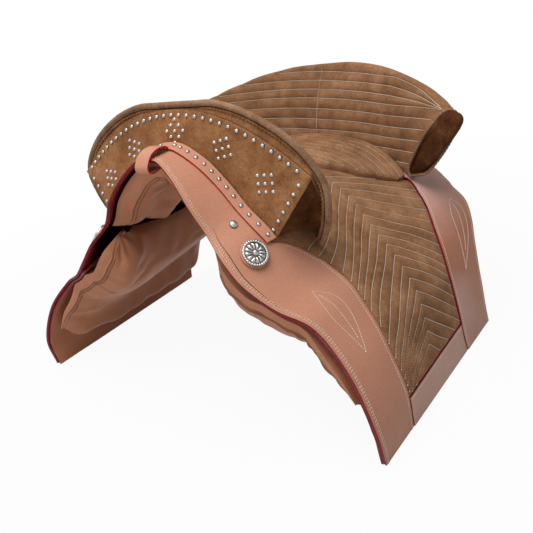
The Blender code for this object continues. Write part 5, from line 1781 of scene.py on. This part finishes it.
def make_face_studs():
    places = []
    edge = 2.2 * STUD_RADIUS
    x = 0.0
    while x < FACE_CORNER[0] - 1.2 * edge:
        places += [(sign * x, float(face_top(x)[2]) - edge) for sign in signs(x)]
        x += STUD_PITCH / math.hypot(1, 2 * FACE_TOP_FALL * x)
    for k in FACE_SIDE_STUDS:
        a = ARCH_END[0] + (FACE_CORNER[0] - ARCH_END[0]) * k
        places += [(sign * (a - edge), float(face_bottom(a)[2]) + edge) for sign in (1, -1)]
    for x, z, turn in STUD_GROUPS:
        c, s = math.cos(math.radians(turn)), math.sin(math.radians(turn))
        places += [((x == 0) * STUD_MIDDLE_X + sign * (x + GROUP_PITCH * (i * c - j * s)),
                    z + GROUP_PITCH * (i * s + j * c))
                   for sign in signs(x) for i in (-1, 0, 1) for j in (-1, 0, 1)]
    x, z = np.array(places).T
    piece = studs("pommel_studs", face_point(x, z) - (0, FACE_THICKNESS + FACE_GAP + STUD_SINK, 0),
                  face_normal(x, z), STUD_RADIUS, STUD_HEIGHT)
    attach(piece, "saddle")


def whole_rim(inset, count=900):
    """Even places along the rim from one foot to the other, moved in by an inset, with their distances."""
    half = rim_line(inset, 400)
    line = np.concatenate([(half * (-1, 1, 1))[:0:-1], half])
    at = distances(line)
    even = np.linspace(0, at[-1], count)
    return between(even, at, line), even


def make_rim():
    line, even = whole_rim(RIM_RADIUS)
    low, wrinkle, pitch = RIM_WRINKLES
    radius = RIM_SWELL * (low + wrinkle * np.abs(np.sin(even / pitch * math.pi)))
    finish(tube("pommel_roll", line, radius, ["worn suede"], 20), "pommel_rim")

    # Painted shadow: a dark sheet in the gap behind the rim
    shadow_sheet = np.stack([whole_rim(inset)[0] for inset in RIM_SHADOW_SHEET], 1)
    front = shadow_sheet + np.array((0, RIM_SHADOW_SHEET_SET_BACK, 0))
    back = front + np.array((0, RIM_SHADOW_SHEET_THICKNESS, 0))
    finish(slab("pommel_shadow_sheet", front, back, ["dark suede with painted shade", "dark suede with painted shade", "dark suede with painted shade"]))

    line, even = whole_rim(RUFFLE_INSET, 1400)
    wave = np.sin(even / RUFFLE_PITCH * 2 * math.pi)
    inward = unit(whole_rim(RUFFLE_INSET + 0.001, 1400)[0] - line)
    line = line + inward * (RUFFLE_WAVE * wave)[:, None] + np.array((0, RUFFLE_SET_BACK, 0))
    finish(tube("pommel_ruffle", line, RUFFLE_RADIUS * (1 + RUFFLE_SWELL * wave), ["face suede"], 8))
    sew("rim", line - np.array((0, RUFFLE_RADIUS * 0.9, 0)), np.tile((0.0, -1.0, 0.0), (1400, 1)),
        **RUFFLE_STITCH)


def make_welt():
    t = np.linspace(-WELT_END_T, WELT_END_T, 260)
    low, high = along(WELT_FRONT, np.abs(t)), along(WELT_REAR, np.abs(t))
    across = np.linspace(0, 1, 9)
    u = low[:, None] + (high - low)[:, None] * across[None, :]
    t = np.repeat(t[:, None], len(across), axis=1)
    crown = WELT_CROWN[0] * np.sin(math.pi * across) + WELT_CROWN[1] * across ** 3
    crown = crown[None, :] * np.ones(u.shape)
    outer = skin(u, t, -LAYER_GAP - WELT_THICKNESS - crown)
    inner = skin(u, t, -LAYER_GAP - 0.8 * crown)
    piece = slab("pommel_band", outer, inner, ["leather", "flesh", "red edge"], round_edge=THIN_CUT_ROUNDING)
    finish(piece, "pommel_welt")
    count = np.array([n for n in range(-WELT_STUDS, WELT_STUDS + 1) if abs(n) >= 2])
    at = np.copysign(WELT_END_T * (np.abs(count) - 0.4) / (WELT_STUDS + 0.1), count)
    u = 0.42 * along(WELT_FRONT, np.abs(at)) + 0.58 * along(WELT_REAR, np.abs(at))
    places = even_layer(u, at, -LAYER_GAP - WELT_THICKNESS - WELT_STUD_LIFT)
    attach(studs("welt_studs", places, normal(u, at), STUD_RADIUS, STUD_HEIGHT), "saddle")


def make_loop():
    """Leather keeper over the front of the arch."""
    line = spline([(0, a, b) for a, b in LOOP_PATH], np.linspace(0, len(LOOP_PATH) - 1, 90))
    run = unit(np.gradient(line, axis=0))
    out = np.stack([0 * run[:, 0], -run[:, 2], run[:, 1]], -1)
    x = np.linspace(-LOOP_WIDTH / 2, LOOP_WIDTH / 2, 9)
    outer = line[:, None] + np.array((0, FRONT_TIP_Y, 0)) + np.stack([x, 0 * x, 0 * x], -1)[None]
    inner = outer + out[:, None] * LOOP_THICKNESS
    piece = slab("loop_leather", outer, inner, ["leather", "flesh", "red edge"], round_edge=CUT_ROUNDING)
    finish(piece, "pommel_loop")


# Metal on the leather
def disc(name, place, outward, radius, height_at, material, side, grid=(40, 144), groove_at=None):
    """Round plate with a relief: height_at gives its height over radius and angle."""
    rings, around = grid
    a = unit(np.cross(outward, np.array((0.0, 0.0, 1.0))))
    b = np.cross(outward, a)
    r, angle = np.meshgrid(np.linspace(radius, radius * 0.02, rings),
                           np.arange(around) * 2 * math.pi / around, indexing="ij")
    flat = place + a * (r * np.cos(angle))[..., None] + b * (r * np.sin(angle))[..., None]
    relief = flat + outward * height_at(r / radius, angle)[..., None]
    groove = groove_at and np.concatenate([np.zeros((1, around)), groove_at(r / radius, angle)])
    return loft(name, np.concatenate([flat[:1], relief]) * (side, 1, 1), [material], groove=groove, sharp=60)


def petals(r, angle):
    """Twelve petals, from 0 between them to 1 on their middles."""
    middle, reach = PETALS
    return np.clip(1 - (np.abs(r - middle) / reach) ** 2, 0, 1) * np.abs(np.sin(6 * angle))


def rosette(r, angle):
    """Relief of a plain twelve-petal disc with a roped border."""
    edge, middle, reach = ROPE
    boss = 0.42 + 0.58 * np.sqrt(np.clip(1 - (r / BOSS) ** 2, 0, 1))
    rope = 0.40 + 0.30 * np.sqrt(np.clip(1 - ((r - middle) / reach) ** 2, 0, 1)) * (
        0.72 + 0.28 * np.cos(30 * angle + 9 * r))
    field = np.where(r < BOSS, boss, 0.30 + 0.42 * petals(r, angle))
    return CONCHO_HEIGHT * np.where(r > edge, rope, field)


def rosette_groove(r, angle):
    """Tarnish beside the petals."""
    beside = np.clip(1 - 2.2 * petals(r, angle), 0, 1)
    return 0.85 * np.where((r > BOSS + 0.01) & (r < ROPE[0]), beside, 0.0)


def washer(r, angle):
    return WASHER_THICKNESS * (1 - 0.35 * np.clip((r - 0.94) / 0.06, 0, 1) ** 2)


def dome(r, angle):
    return RIVET_HEIGHT * (0.35 + 0.65 * np.sqrt(np.clip(1 - (r / 0.86) ** 2, 0, 1)))


def dome_groove(r, angle):
    return np.where(r > 0.88, 0.8, 0.0)


def make_metal():
    out, rivet_out = unit(normal(*CONCHO_AT)), unit(normal(*RIVET_AT))
    seat = surface(*CONCHO_AT) + normal(*CONCHO_AT) * WASHER_LIFT
    top = seat + normal(*CONCHO_AT) * (WASHER_THICKNESS + CONCHO_GAP)
    rivet_seat = surface(*RIVET_AT) + normal(*RIVET_AT) * LAYER_GAP
    for word, side in SIDES.items():
        piece = disc("concho_leather_" + word, seat, out, WASHER_RADIUS, washer, "leather", side, (12, 72))
        finish(piece, "concho_washer_" + word)
        piece = disc("concho_disc_" + word, top, out, CONCHO_RADIUS, rosette, "nickel", side,
                     groove_at=rosette_groove)
        finish(piece, "concho_" + word)
        piece = disc("rivet_head_" + word, rivet_seat, rivet_out, RIVET_RADIUS, dome, "nickel", side,
                     (16, 40), dome_groove)
        finish(piece, "rivet_" + word)


# What stays of the solids
def finish_solids():
    looks = {"tree_": "wood", "gullet_plate": "steel", "stirrup_bar": "steel", "bar_catch": "steel",
             "seat_webbing": "webbing", "billet_": "leather"}
    for name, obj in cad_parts.items():
        for start, word in looks.items():
            if name.startswith(start):
                obj.data.materials.clear()
                obj.data.materials.append(MATERIALS[word])


# Stage
FLOOR_SIZE = 60.0
FLOOR_WHITE_NEAR = 0.94
WORLD_LIGHT = 0.17
LIGHT_TARGET = (0, 0, .2)
# Name, place, size and watts
LIGHTS = (("overhead", (0.05, -0.45, 2.3), 1.7, 50), ("key", (0.9, -2.1, 0.6), 1.2, 6),
          ("fill", (-1.4, -1.9, 1.0), 1.6, 9), ("rear", (0.5, 2.0, 1.5), 1.4, 5))
CAMERA_AT = (0.6435, -0.7809, 0.5531)
# The camera's right, up and back
CAMERA_AXES = ((0.8006, 0.5722, -0.1779), (-0.1031, 0.4240, 0.8998), (0.5903, -0.7020, 0.3984))
SENSOR_WIDTH = 36.0
FOCAL_LENGTH = 43.9


def background_ray(tree):
    """1 for rays that show the background: from the camera, or off and through shiny surfaces."""
    rays = tree.nodes.new("ShaderNodeLightPath")
    share = rays.outputs["Is Camera Ray"]
    for word in ("Is Glossy Ray", "Is Transmission Ray"):
        larger = add(tree, "ShaderNodeMath", {"operation": "MAXIMUM"})
        tree.links.new(share, larger.inputs[0])
        tree.links.new(rays.outputs[word], larger.inputs[1])
        share = larger.outputs[0]
    return share


def stage_material():
    """Pale floor that is white to the camera, and keeps the object's shadow close by."""
    made, tree, shader = nodes_of("pale floor", (.62, .62, .62), 0.9, Specular_IOR_Level=0.0)
    white = tree.nodes.new("ShaderNodeEmission")
    far = add(tree, "ShaderNodeVectorMath", {"operation": "LENGTH"}, Vector=object_place(tree))
    share = spread(tree, far.outputs["Value"], FLOOR_WHITE_NEAR, 1.0, 0.35, 1.3)
    shown = add(tree, "ShaderNodeMath", {"operation": "MULTIPLY"})
    tree.links.new(background_ray(tree), shown.inputs[0])
    tree.links.new(share, shown.inputs[1])
    both = tree.nodes.new("ShaderNodeMixShader")
    tree.links.new(shown.outputs[0], both.inputs[0])
    tree.links.new(shader.outputs[0], both.inputs[1])
    tree.links.new(white.outputs[0], both.inputs[2])
    tree.links.new(both.outputs[0], tree.nodes["Material Output"].inputs["Surface"])
    return made


def make_stage():
    bpy.ops.mesh.primitive_plane_add(size=FLOOR_SIZE, location=(0, 0, -0.0005))
    floor = bpy.context.object
    floor.name = "floor"
    floor.data.materials.append(stage_material())


def area_light(name, place, size, watts):
    data = bpy.data.lights.new(name, "AREA")
    data.size = size
    data.energy = watts
    obj = bpy.data.objects.new(name, data)
    obj.location = place
    aim = Vector(LIGHT_TARGET) - Vector(place)
    obj.rotation_euler = aim.to_track_quat("-Z", "Y").to_euler()
    bpy.context.scene.collection.objects.link(obj)


def make_lights():
    world = bpy.data.worlds.new("studio")
    bpy.context.scene.world = world
    world.use_nodes = True
    tree = world.node_tree
    background = tree.nodes["Background"]
    strength = add(tree, "ShaderNodeMapRange", Value=background_ray(tree), To_Min=WORLD_LIGHT, To_Max=1.0)
    background.inputs["Color"].default_value = (1, 1, 1, 1)
    tree.links.new(strength.outputs["Result"], background.inputs["Strength"])
    for light in LIGHTS:
        area_light(*light)


def make_camera():
    data = bpy.data.cameras.new("camera")
    data.sensor_width = SENSOR_WIDTH
    data.lens = FOCAL_LENGTH
    camera = bpy.data.objects.new("camera", data)
    turn = Matrix([Vector(axis) for axis in CAMERA_AXES]).transposed().to_4x4()
    camera.matrix_world = Matrix.Translation(CAMERA_AT) @ turn
    bpy.context.scene.collection.objects.link(camera)
    bpy.context.scene.camera = camera


make_camera()
make_stage()
make_lights()
finish_solids()
for side_word in SIDES:
    make_side(side_word)
    make_sweat_flap(side_word)
    make_panel(side_word)
make_lining()
make_shadow_sheets()
make_seat()
make_cantle()
make_pommel()
make_welt()
make_loop()
make_metal()
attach(stitch_piece("saddle_stitching", "saddle"), "saddle")
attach(stitch_piece("rim_stitching", "rim", "brown thread"), "saddle")

bpy.context.scene.view_settings.view_transform = "Standard"
